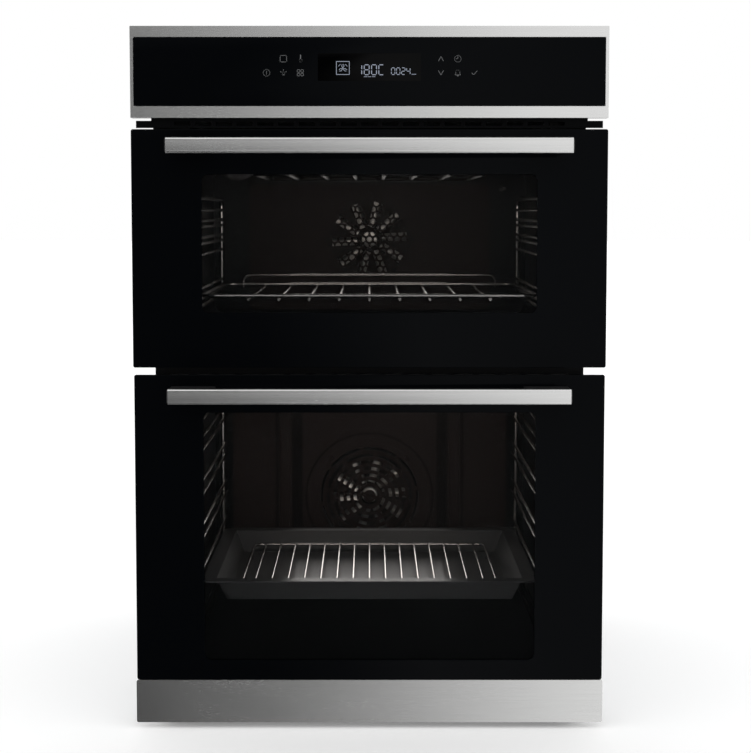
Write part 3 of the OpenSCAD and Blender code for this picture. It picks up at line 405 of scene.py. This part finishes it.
RING_Z, GROOVE_R, GROOVE_W = 220.5 * MM, 97.5 * MM, 3.2 * MM
CHANNELS = [(103 * MM, 119 * MM), (140.5 * MM, 144.5 * MM)]
CHANNEL_EDGE = 1.5 * MM
lower_cover = cover_enamel("lower_cover_enamel")
x, _, z = lower_cover.axes()
up, across = z - RING_Z, abs(x)
from_ring = abs((x * x + up * up).maths("SQRT") - GROOVE_R)
# Painted shade: a dark ring for the round groove and dark bands over the channels stand for the
# shadow in them. There is no groove in the shape.
painted_groove_shade = 1.0 - from_ring.step(GROOVE_W * 0.35, GROOVE_W * 0.65)
for near, far in CHANNELS:
    inside = across.step(near - CHANNEL_EDGE, near + CHANNEL_EDGE)
    outside = across.step(far - CHANNEL_EDGE, far + CHANNEL_EDGE)
    painted_groove_shade = painted_groove_shade.maths("MAXIMUM", inside * (1.0 - outside))
lower_cover.set("Base Color", lower_cover.blend(painted_groove_shade * 0.88, lower_cover.ground,
                                                (0.004, 0.0025, 0.002, 1.0)))
coat(["lower_fan_cover"], lower_cover)


def block(form, low, high):
    """A block between two corners."""
    low, high = Vector(low), Vector(high)
    verts = bmesh.ops.create_cube(form, size=1.0)["verts"]
    bmesh.ops.scale(form, vec=high - low, verts=verts)
    bmesh.ops.translate(form, vec=(low + high) / 2, verts=verts)
    return verts


def along(verts, axis):
    """The edges of a block that run along an axis."""
    return [e for e in edges_of(verts)
            if abs((e.verts[0].co - e.verts[1].co).normalized()[axis]) > 0.99]


def flat_edges(form, axis, value):
    """The edges that lie in a plane across an axis."""
    return [e for e in form.edges if all(abs(v.co[axis] - value) < 1e-7 for v in e.verts)]


RIB_H, RIB_X, RIB_W, RIB_SHORT = 2.4 * MM, 130 * MM, 17 * MM, 14 * MM
cover_low, cover_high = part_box("lower_fan_cover")
cover_face = cover_low.y
form = bmesh.new()
for side in (-1, 1):
    verts = block(form, (side * RIB_X - RIB_W / 2, cover_face - RIB_H, cover_low.z + RIB_SHORT),
                  (side * RIB_X + RIB_W / 2, cover_face + 0.5 * MM, cover_high.z - RIB_SHORT))
    bevelled(form, along(verts, 1), 8 * MM, 8)
bevelled(form, flat_edges(form, 1, cover_face - RIB_H), 2.2 * MM, 4)
for turn in (45, 135, 225, 315):
    at = Vector((GROOVE_R * 0.85 * math.cos(math.radians(turn)), cover_face,
                 RING_Z + GROOVE_R * 0.85 * math.sin(math.radians(turn))))
    disc(form, at, Vector((0, -1, 0)), 4.2 * MM, -0.5 * MM, 2.2 * MM, dome=1.4 * MM)
made("lower_cover_ribs", form, lower_cover, "chassis")


# ---------------------------------------------------------------- motors and probes
# The fan and blower motors are stacks of stamped steel plates, bolted behind the ovens. The
# probes and the cups of the lamps are drawn from thin bright steel and clamped in the oven walls.

motor_body = Paint("motor_body", (0.30, 0.30, 0.31), 0.5, Metallic=0.9)
plates = motor_body.add("ShaderNodeTexWave", {"bands_direction": "Y"}, out="Fac",
                        Vector=motor_body.place, Scale=160.0, Distortion=0.4)
motor_body.set("Base Color", motor_body.shade(plates, 0.6, 1.2))
motor_body.bump(plates, 0.0002)
coat(["fan_motors", "blower_motor"], motor_body)

probe_steel = Paint("probe_steel", (0.42, 0.41, 0.40), 0.3, Metallic=1.0)
probe_cloud = probe_steel.noise(0.01, 3.0)
probe_steel.set("Base Color", probe_steel.shade(probe_cloud, 0.75, 1.1))
coat(["temperature_probes", "lamp_holders"], probe_steel)


# ---------------------------------------------------------------- oven lamps
# A halogen bulb stands in a steel cup let into each roof, under a domed glass cover with a
# frosted inner face that spreads the light.

lens_glass = Paint("lens_glass", (0.22, 0.22, 0.22), 0.12, Alpha=0.4, IOR=1.45)
ripple = lens_glass.noise(0.006, 2.0)
lens_glass.set("Alpha", 0.3 + ripple * 0.3)
lens_glass.bump(ripple, 0.0008)
coat(["lamp_lenses"], lens_glass)

bulb = Paint("lamp_bulb", (0.6, 0.5, 0.36), 0.3, Emission_Strength=0.3)
glow = bulb.noise(0.004, 1.0)
bulb.set("Emission Color", bulb.blend(glow, (1.0, 0.70, 0.42, 1.0), (1.0, 0.90, 0.72, 1.0)))
coat(["lamp_bulbs"], bulb)


# ---------------------------------------------------------------- roasting pan
# A pan drawn from one steel sheet in the same enamel. Its rolled edge rests on the rack's wires,
# and a wire trivet lies inside.

pan_enamel = enamelled("pan_enamel", (0.072, 0.073, 0.075), 0.3, 0.08)
coat(["roasting_pan"], pan_enamel)

pan_low, pan_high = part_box("roasting_pan")
ROLL, PAN_CORNER = 2.6 * MM, 16 * MM
form = bmesh.new()
verts = block(form, (pan_low.x, pan_low.y, pan_high.z - ROLL), pan_high)
bevelled(form, along(verts, 2), PAN_CORNER, 8)
bmesh.ops.delete(form, geom=[f for f in form.faces if abs(f.normal.z) > 0.99],
                 context="FACES_ONLY")
bmesh.ops.solidify(form, geom=form.faces[:], thickness=ROLL)
bmesh.ops.recalc_face_normals(form, faces=form.faces[:])
bevelled(form, [e for e in form.edges if len(e.link_faces) == 2
                and e.calc_face_angle(0.0) > 1.2], ROLL * 0.48, 4)
made("pan_rolled_rim", form, pan_enamel, "roasting_pan")


# ---------------------------------------------------------------- doors
# Each door has three panes on a black frame. The outer one is printed black on its inner face,
# which leaves a clear window, and its edges are ground round.

def printed_glass(name, middle_z, half_w, half_h, radius):
    glass = Paint(name, (0.0014, 0.0017, 0.0022), 0.04, Specular_IOR_Level=0.025)
    x, _, z = glass.axes()
    past_x = (abs(x) - (half_w - radius)).maths("MAXIMUM", 0.0)
    past_z = (abs(z - middle_z) - (half_h - radius)).maths("MAXIMUM", 0.0)
    beyond = (past_x * past_x + past_z * past_z).maths("SQRT") - radius
    window = 1.0 - beyond.step(-0.4 * MM, 0.4 * MM)
    smear = glass.noise(0.12, 3.0)
    glass.set("Alpha", 1.0 - window * 0.82)
    glass.set("Roughness", 0.02 + smear * 0.05)
    return glass


def pane(form, low, high, corner, edge):
    """A pane with round corners, whose edges are ground round."""
    bevelled(form, along(block(form, low, high), 1), corner, 5)
    for face in (low[1], high[1]):
        bevelled(form, flat_edges(form, 1, face), edge)


WINDOW_HALF_W, WINDOW_CORNER = 209.5 * MM, 8 * MM
PANE_CORNER, PANE_EDGE = 2.5 * MM, 0.7 * MM
# Each window's middle height and half height.
WINDOWS = {"upper_door": (618.5 * MM, 86.5 * MM), "lower_door": (247.5 * MM, 158.5 * MM)}
for door, (middle_z, half_h) in WINDOWS.items():
    node = door + "_outer_glass"
    form = bmesh.new()
    pane(form, *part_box(node), PANE_CORNER, PANE_EDGE)
    glass = printed_glass(door + "_print", middle_z, WINDOW_HALF_W, half_h, WINDOW_CORNER)
    made(door + "_printed_pane", form, glass, door, node)

clear_pane = Paint("clear_pane", (0.02, 0.022, 0.02), 0.03, Alpha=0.05, Specular_IOR_Level=0.1)
haze = clear_pane.noise(0.1, 3.0)
clear_pane.set("Alpha", 0.03 + haze * 0.04)
coat([d + p for d in ("upper_door_", "lower_door_") for p in ("middle_glass", "inner_glass")],
     clear_pane)
coat(["upper_door_frame", "lower_door_frame"], powder_coat("door_coat", (0.008, 0.008, 0.0085)))

black_moulding = Paint("black_moulding", (0.008, 0.008, 0.0085), 0.45)
spark = black_moulding.noise(0.0006, 2.0)
black_moulding.set("Roughness", 0.36 + spark * 0.2)
black_moulding.bump(spark, 0.00005)
coat(["upper_door_top_trim", "lower_door_top_trim", "upper_handle_mounts", "lower_handle_mounts",
      "terminal_block", "blower_drum"], black_moulding)


# ---------------------------------------------------------------- handles and steel strip
# Handle bars, the strip under the lower glass and the panel's fascia are stainless steel, brushed
# along their length. A bar has a faintly crowned face and is held by black mounts at its ends.

def brushed(name, colour=(0.62, 0.62, 0.615), rough=0.25):
    steel = Paint(name, colour, rough, Metallic=1.0)
    long_grain = steel.noise(0.0012, 4.0, stretch=(0.015, 1, 1), rough=0.7)
    fine_grain = steel.noise(0.0005, 3.0, stretch=(0.05, 1, 1), rough=0.6, shift=(0.3, 0, 0.2))
    cloud = steel.noise(0.05, 2.0, stretch=(0.3, 1, 1))
    steel.set("Base Color", steel.shade(long_grain * 0.5 + fine_grain * 0.5, 0.85, 1.13))
    steel.set("Roughness", rough - 0.07 + fine_grain * 0.10 + cloud * 0.05)
    steel.bump(long_grain * 0.4 + fine_grain * 0.6, 0.000018)
    return steel


brushed_steel = brushed("brushed_steel")
coat(["lower_door_strip", "control_fascia"], brushed_steel)

CROWN, BAR_EDGE, END_RIM, END_DISH = 0.45 * MM, 2.8 * MM, 0.9 * MM, 0.4 * MM
for door in ("upper", "lower"):
    low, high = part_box(door + "_handle_bar")
    middle_z, half_h = (low.z + high.z) / 2, (high.z - low.z) / 2
    form = bmesh.new()
    verts = block(form, low, high)
    bevelled(form, along(verts, 0), BAR_EDGE, 5)
    front = [e for e in form.edges if abs((e.verts[0].co - e.verts[1].co).normalized().z) > 0.99
             and all(abs(v.co.y - low.y) < 1e-7 for v in e.verts)]
    bmesh.ops.subdivide_edges(form, edges=front, cuts=7, use_grid_fill=True)
    for vert in form.verts:
        if vert.co.y < low.y + 1e-6:
            vert.co.y += CROWN * ((vert.co.z - middle_z) / half_h) ** 2
    ends = [f for f in form.faces if abs(f.normal.x) > 0.99]
    bmesh.ops.inset_region(form, faces=ends, thickness=END_RIM, depth=-END_DISH)
    made(door + "_handle", form, brushed_steel, door + "_door",
         door + "_handle_bar")


# ---------------------------------------------------------------- cooling air
# A blower draws air over the controls and drives it through a flat duct of galvanised sheet to a
# black slotted plate over the upper door.

coat(["blower_housing"], galvanised("blower_sheet", (0.56, 0.57, 0.58)))

outlet_black = Paint("outlet_black", (0.0020, 0.0022, 0.0026), 0.5, Specular_IOR_Level=0.04)
outlet_black.set("Roughness", 0.42 + outlet_black.noise(0.002, 2.0) * 0.2)
coat(["vent_grille"], outlet_black)


# ---------------------------------------------------------------- control panel
# A black touch glass sits flush in the folded steel fascia, with ground edges. The display shines
# through a darker field of it, a hair proud of the rest.

PRINT_T = 0.06 * MM
DISPLAY_HALF_W, DISPLAY_LOW, DISPLAY_HIGH = 64 * MM, 31.1 * MM, 65.1 * MM
panel_glass = Paint("panel_glass", (0.0014, 0.0017, 0.0022), 0.04, Specular_IOR_Level=0.025)
wiped = panel_glass.noise(0.1, 3.0)
panel_glass.set("Roughness", 0.02 + wiped * 0.05)
panel_low, panel_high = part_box("control_glass")
form = bmesh.new()
pane(form, panel_low + Vector((0, PRINT_T, 0)), panel_high, 2.0 * MM, 0.5 * MM)
made("touch_glass", form, panel_glass, "chassis", "control_glass")

form = bmesh.new()
pane(form, (-DISPLAY_HALF_W, panel_low.y + PRINT_T / 2, panel_low.z + DISPLAY_LOW),
     (DISPLAY_HALF_W, panel_low.y + PRINT_T * 2, panel_low.z + DISPLAY_HIGH), 1.2 * MM,
     0.01 * MM)
window = Paint("display_window", (0.0003, 0.0003, 0.0004), 0.04, Specular_IOR_Level=0.05)
window.set("Roughness", 0.02 + window.noise(0.05, 2.0) * 0.04)
made("display_pane", form, window, "chassis")


# ---------------------------------------------------------------- symbols on the panel
# The touch symbols are printed in grey on the glass. The display behind it shows a fan symbol,
# a temperature and a time of day in bars of light, each lit from its own lamp.

class Drawing:
    """Thin bars on the face of the panel, drawn about a point in millimetres."""

    def __init__(self, width):
        self.form, self.width, self.at = bmesh.new(), width, (0.0, 0.0)

    def move(self, x, z):
        self.at = (x, z)
        return self

    def bar(self, x0, z0, x1, z1, width=None, past=1.0):
        """A bar between two points; past 1 runs it half a width beyond each, to close corners."""
        width = width or self.width
        x0, x1 = x0 + self.at[0], x1 + self.at[0]
        z0, z1 = z0 + self.at[1], z1 + self.at[1]
        length, turn = math.hypot(x1 - x0, z1 - z0), math.atan2(z1 - z0, x1 - x0)
        verts = bmesh.ops.create_cube(self.form, size=1.0)["verts"]
        bmesh.ops.scale(self.form, vec=((length + width * past) * MM, PRINT_T, width * MM),
                        verts=verts)
        bmesh.ops.rotate(self.form, matrix=Matrix.Rotation(-turn, 3, "Y"), verts=verts)
        bmesh.ops.translate(self.form, vec=((x0 + x1) / 2 * MM, panel_low.y + PRINT_T / 2,
                                            panel_low.z + (z0 + z1) / 2 * MM), verts=verts)

    def lines(self, points, closed=False, width=None):
        follow = points[1:] + points[:1] if closed else points[1:]
        for (x0, z0), (x1, z1) in zip(points, follow):
            self.bar(x0, z0, x1, z1, width)

    def arc(self, x, z, radius, start=0, end=360, parts=20, width=None):
        turns = [math.radians(start + (end - start) * i / parts) for i in range(parts + 1)]
        self.lines([(x + radius * math.cos(t), z + radius * math.sin(t)) for t in turns],
                   width=width)

    def digit(self, x, z, wide, tall, lit, width):
        """A seven bar digit from its lower left corner; lit names the bars, a to g."""
        gap, mid = width * 0.75, z + tall / 2
        ends = {"a": (x + gap, z + tall, x + wide - gap, z + tall),
                "b": (x + wide, z + tall - gap, x + wide, mid + gap),
                "c": (x + wide, mid - gap, x + wide, z + gap),
                "d": (x + gap, z, x + wide - gap, z),
                "e": (x, mid - gap, x, z + gap),
                "f": (x, z + tall - gap, x, mid + gap),
                "g": (x + gap, mid, x + wide - gap, mid)}
        for name in lit:
            self.bar(*ends[name], width, past=0.0)


# Places in millimetres from the middle and the lower edge of the glass.
ROW_HIGH, ROW_LOW = 58.3, 41.0
LINE = 0.62
symbols = Drawing(LINE)
# A rounded square and a food probe, over a switch, a lamp and four squares.
symbols.move(-106.7, ROW_HIGH).lines([(-4, -3), (-3, -4), (3, -4), (4, -3), (4, 3), (3, 4),
                                      (-3, 4), (-4, 3)], closed=True)
symbols.move(-85.4, ROW_HIGH).arc(0, -2.2, 1.0, parts=10, width=1.6)
symbols.lines([(0, -2), (0, 4.2)], width=1.3)
symbols.move(-127.6, ROW_LOW).arc(0, 0, 4.1)
symbols.lines([(0, -1.8), (0, 1.8)])
symbols.move(-106.7, ROW_LOW).arc(0, -0.3, 1.5, parts=10, width=0.9)
symbols.lines([(-0.7, -2.6), (0.7, -2.6)], width=0.8)
for turn in (20, 90, 160):
    dx, dz = math.cos(math.radians(turn)), math.sin(math.radians(turn))
    symbols.lines([(2.9 * dx, 2.9 * dz), (4.0 * dx, 4.0 * dz)])
symbols.move(-85.7, ROW_LOW)
for dx in (-2.25, 2.25):
    for dz in (-2.25, 2.25):
        symbols.lines([(dx - 1.6, dz - 1.6), (dx + 1.6, dz - 1.6), (dx + 1.6, dz + 1.6),
                       (dx - 1.6, dz + 1.6)], closed=True)
# An arrow up and an arrow down, a clock over a bell, and a tick.
for height, sign in ((ROW_HIGH, 1), (ROW_LOW, -1)):
    symbols.move(88.6, height).lines([(-3, -2.6 * sign), (0, 2.8 * sign), (3, -2.6 * sign)])
symbols.move(109.5, ROW_HIGH).arc(0, 0, 4.1)
symbols.lines([(0, 2.4), (0, 0), (-2.0, 0)])
symbols.move(109.5, ROW_LOW).lines([(-3.6, -2.6), (-2.5, -1.2), (-2.5, 1.0)])
symbols.arc(0, 1.0, 2.5, 0, 180, 10)
symbols.lines([(2.5, 1.0), (2.5, -1.2), (3.6, -2.6), (-3.6, -2.6)])
symbols.lines([(-0.7, -3.7), (0.7, -3.7)], width=0.9)
symbols.move(130.1, ROW_LOW).lines([(-3.2, -0.2), (-0.9, -2.4), (3.4, 2.4)])
print_grey = Paint("symbol_print", (0.105, 0.108, 0.112), 0.5)
print_grey.set("Base Color", print_grey.shade(print_grey.noise(0.0008, 2.0), 0.8, 1.15))
made("panel_symbols", symbols.form, print_grey, "chassis")

figures = Drawing(LINE)
# A fan with three blades in a square frame.
FRAME_HALF, HUB_DROP = 8, 0.6
figures.move(-33.0, 46.9).lines([(-FRAME_HALF, -FRAME_HALF), (FRAME_HALF, -FRAME_HALF),
                                 (FRAME_HALF, FRAME_HALF), (-FRAME_HALF, FRAME_HALF)],
                                closed=True, width=0.7)
for turn in (90, 210, 330):
    dx, dz = math.cos(math.radians(turn)), math.sin(math.radians(turn))
    for side in (-1, 1):
        blade = [(along_it * dx - side * across_it * dz,
                  along_it * dz + side * across_it * dx - HUB_DROP)
                 for along_it, across_it in ((0.5, 0.0), (3.0, 1.5), (5.0, 0.8))]
        figures.lines(blade)
for side in (-1, 1):
    figures.arc(0, -HUB_DROP, 5.9, 90 + side * 32, 90 + side * 62, 5)
figures.move(0, 0)
# The temperature with its scale, three short bars below it, and the time of day.
LARGE = {"tall": 12.2, "width": 1.05}
for x0, wide, lit in ((-15.6, 6.0, "bc"), (-6.5, 6.1, "abcdefg"), (2.6, 6.1, "abcdef"),
                      (11.6, 6.1, "adef")):
    figures.digit(x0, 38.6, wide, lit=lit, **LARGE)
for x0 in (-6.6, -1.6, 3.4):
    figures.bar(x0, 36.2, x0 + 3.6, 36.2, 0.6)
for i, lit in enumerate(("abcdef", "abcdef", "abged", "fgbc")):
    figures.digit(27.2 + i * 6.3, 38.9, 4.3, 8.2, lit, 0.85)
for i in range(3):
    figures.bar(52.6 + i * 1.9, 39.2, 53.6 + i * 1.9, 39.2, 0.7)
lit_bars = Paint("display_light", (0.05, 0.055, 0.065), 0.4, Emission_Strength=0.34)
flicker = lit_bars.noise(0.003, 1.0)
lit_bars.set("Emission Color", lit_bars.blend(flicker, (0.62, 0.72, 0.95, 1),
                                              (0.78, 0.86, 1, 1)))
made("display_figures", figures.form, lit_bars, "chassis")

display = Paint("display_face", (0.01, 0.012, 0.016), 0.3)
grid = display.noise(0.0004, 1.0)
display.set("Roughness", 0.25 + grid * 0.1)
coat(["display_module"], display)


# ---------------------------------------------------------------- electrics
# Two boards of glass cloth under green lacquer carry the controls and the power switches, with
# copper tracks that show paler through it. They are screwed above the ovens.

lacquer = Paint("board_lacquer", (0.02, 0.12, 0.05), 0.35)
tracks = lacquer.add("ShaderNodeTexBrick", out="Fac", Vector=lacquer.stretched((120, 120, 120)),
                     Scale=1.0)
lacquer.set("Base Color", lacquer.blend(tracks, (0.02, 0.12, 0.05, 1), (0.10, 0.20, 0.08, 1)))
coat(["control_board", "power_board"], lacquer)


# ---------------------------------------------------------------- studio
# A pale floor in a white surround. Only mirror rays see the studio that the steel reflects: dark
# on the left, bright on the right, plain behind and bright above.

floor_mesh = bmesh.new()
bmesh.ops.create_grid(floor_mesh, x_segments=1, y_segments=1, size=30.0)
mesh = bpy.data.meshes.new("floor")
floor_mesh.to_mesh(mesh)
floor_mesh.free()
floor = bpy.data.objects.new("floor", mesh)
bpy.context.scene.collection.objects.link(floor)
floor_paint = Paint("floor_paint", (0.93, 0.93, 0.93), 0.8)
floor_paint.set("Roughness", 0.75 + floor_paint.noise(0.5) * 0.1)
x, y, _ = floor_paint.axes()
far_off = (x * x + y * y).maths("SQRT").step(0.9, 3.2)
floor_paint.set("Emission Color", floor_paint.blend(far_off, (0.20, 0.20, 0.20, 1),
                                                    (0.30, 0.30, 0.30, 1)))
floor_paint.shader.inputs["Emission Strength"].default_value = 1.0
mesh.materials.append(floor_paint.material)
floor.visible_glossy = False

world = bpy.data.worlds.new("studio")
bpy.context.scene.world = world
world.use_nodes = True
sky = world.node_tree
sky.nodes.clear()


def sky_node(kind, settings=None, **feeds):
    node = sky.nodes.new(kind)
    for key, value in (settings or {}).items():
        setattr(node, key, value)
    for key, value in feeds.items():
        entry = next(s for s in node.inputs if s.name == key.replace("_", " ") and s.enabled)
        if isinstance(value, bpy.types.NodeSocket):
            sky.links.new(value, entry)
        else:
            entry.default_value = value
    return node


way = sky_node("ShaderNodeSeparateXYZ",
               Vector=sky_node("ShaderNodeTexCoord").outputs["Generated"])


def sky_ramp(source, low, high, stops):
    """A brightness that follows a direction through stops of place and value."""
    span = sky_node("ShaderNodeMapRange", Value=source, From_Min=low, From_Max=high)
    ramp = sky_node("ShaderNodeValToRGB", Fac=span.outputs[0])
    band = ramp.color_ramp
    band.elements[0].position, band.elements[1].position = 0.0, 1.0
    for at, _ in stops[1:-1]:
        band.elements.new((at - low) / (high - low))
    for element, (_, value) in zip(band.elements, stops):
        element.color = (value, value, value, 1.0)
    return ramp.outputs[0]


high_row = sky_ramp(way.outputs[0], -1.0, 1.0, [
    (-1.0, 0.75), (-0.6, 0.70), (-0.36, 0.10), (-0.14, 0.08), (-0.03, 0.50), (0.05, 1.25),
    (0.24, 1.35), (0.5, 0.9), (1.0, 0.7)])
low_row = sky_ramp(way.outputs[0], -1.0, 1.0, [
    (-1.0, 0.60), (-0.6, 0.55), (-0.36, 0.0), (-0.12, 0.0), (-0.02, 0.05), (0.07, 0.60),
    (0.17, 1.60), (0.5, 0.9), (1.0, 0.6)])
height = sky_node("ShaderNodeMapRange", Value=way.outputs[2], From_Min=-0.35, From_Max=0.15)
rows = sky_node("ShaderNodeMix", {"data_type": "RGBA"}, Factor=height.outputs[0], A=low_row,
                B=high_row)
behind = sky_node("ShaderNodeMapRange", Value=way.outputs[1], From_Min=-0.25, From_Max=0.15)
sides = sky_node("ShaderNodeMix", {"data_type": "RGBA"}, Factor=behind.outputs[0],
                  A=rows.outputs[2], B=(0.78, 0.78, 0.78, 1.0))
above = sky_node("ShaderNodeMapRange", Value=way.outputs[2], From_Min=0.19, From_Max=0.4)
reflected = sky_node("ShaderNodeMix", {"data_type": "RGBA"}, Factor=above.outputs[0],
                     A=sides.outputs[2], B=(1.15, 1.15, 1.15, 1.0))
ray = sky_node("ShaderNodeLightPath")
soft = sky_node("ShaderNodeMix", {"data_type": "RGBA"}, Factor=ray.outputs["Is Glossy Ray"],
                A=(1.0, 1.0, 1.0, 1.0), B=reflected.outputs[2])
seen = sky_node("ShaderNodeMix", {"data_type": "RGBA"}, Factor=ray.outputs["Is Camera Ray"],
                A=soft.outputs[2], B=(1.0, 1.0, 1.0, 1.0))
back = sky_node("ShaderNodeBackground", Color=seen.outputs[2], Strength=1.0)
sky.links.new(back.outputs[0], sky_node("ShaderNodeOutputWorld").inputs["Surface"])

FRONT_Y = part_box("upper_door_outer_glass")[0].y
# A long lamp under each roof stands for the bulb. A low one before the fan cover gives the wires
# their glints, from just above the shelf or the pan.
UNDER_ROOF, BEHIND_FRONT, ROOF_LEAN = 60 * MM, 100 * MM, 62
ROOF_W, ROOF_D, GLINT_W = 340 * MM, 50 * MM, 240 * MM
for name, rest_on, energy, glint_energy in (("upper", "upper_shelf", 0.11, 0.07),
                                            ("lower", "roasting_pan", 0.20, 0.15)):
    lamp = bpy.data.lights.new(name + "_oven_light", "AREA")
    lamp.shape, lamp.size, lamp.size_y = "RECTANGLE", ROOF_W, ROOF_D
    lamp.energy, lamp.color, lamp.spread = energy, (1.0, 0.90, 0.82), math.radians(150)
    rig = bpy.data.objects.new(name + "_oven_light", lamp)
    rig.location = (0, FRONT_Y + BEHIND_FRONT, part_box(name + "_cavity")[1].z - UNDER_ROOF)
    rig.rotation_euler = (math.radians(ROOF_LEAN), 0, 0)
    rig.visible_camera = False
    bpy.context.scene.collection.objects.link(rig)
    low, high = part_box(name + "_fan_cover")
    low.z, high.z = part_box(rest_on)[1].z + 15 * MM, high.z - 45 * MM
    glint = bpy.data.lights.new(name + "_wire_light", "AREA")
    glint.shape, glint.size, glint.size_y = "RECTANGLE", GLINT_W, high.z - low.z
    glint.energy, glint.color = glint_energy, (1.0, 0.96, 0.93)
    glint.spread = math.radians(110)
    panel = bpy.data.objects.new(name + "_wire_light", glint)
    panel.location = (0, low.y - 4 * MM, (low.z + high.z) / 2)
    panel.rotation_euler = (math.radians(-90), 0, 0)
    panel.visible_camera = False
    bpy.context.scene.collection.objects.link(panel)


# ---------------------------------------------------------------- camera
# It stands before the doors a little above the middle and looks slightly down, and a small shift
# puts the oven in the middle of the view.

EYE_AWAY, EYE_HEIGHT, LOOK_DOWN = 1.9, 0.6607, 4.0
camera = bpy.data.objects.new("camera", bpy.data.cameras.new("camera"))
bpy.context.scene.collection.objects.link(camera)
bpy.context.scene.camera = camera
camera.data.sensor_width = 36.0
camera.data.lens = 72.64
camera.data.shift_x, camera.data.shift_y = 0.008, -0.08
camera.data.clip_start = 0.05
camera.location = (0, FRONT_Y - EYE_AWAY, EYE_HEIGHT)
camera.rotation_euler = (math.radians(90.0 - LOOK_DOWN), 0, 0)

scene = bpy.context.scene
scene.view_settings.view_transform = "Standard"
scene.cycles.transparent_max_bounces = 24
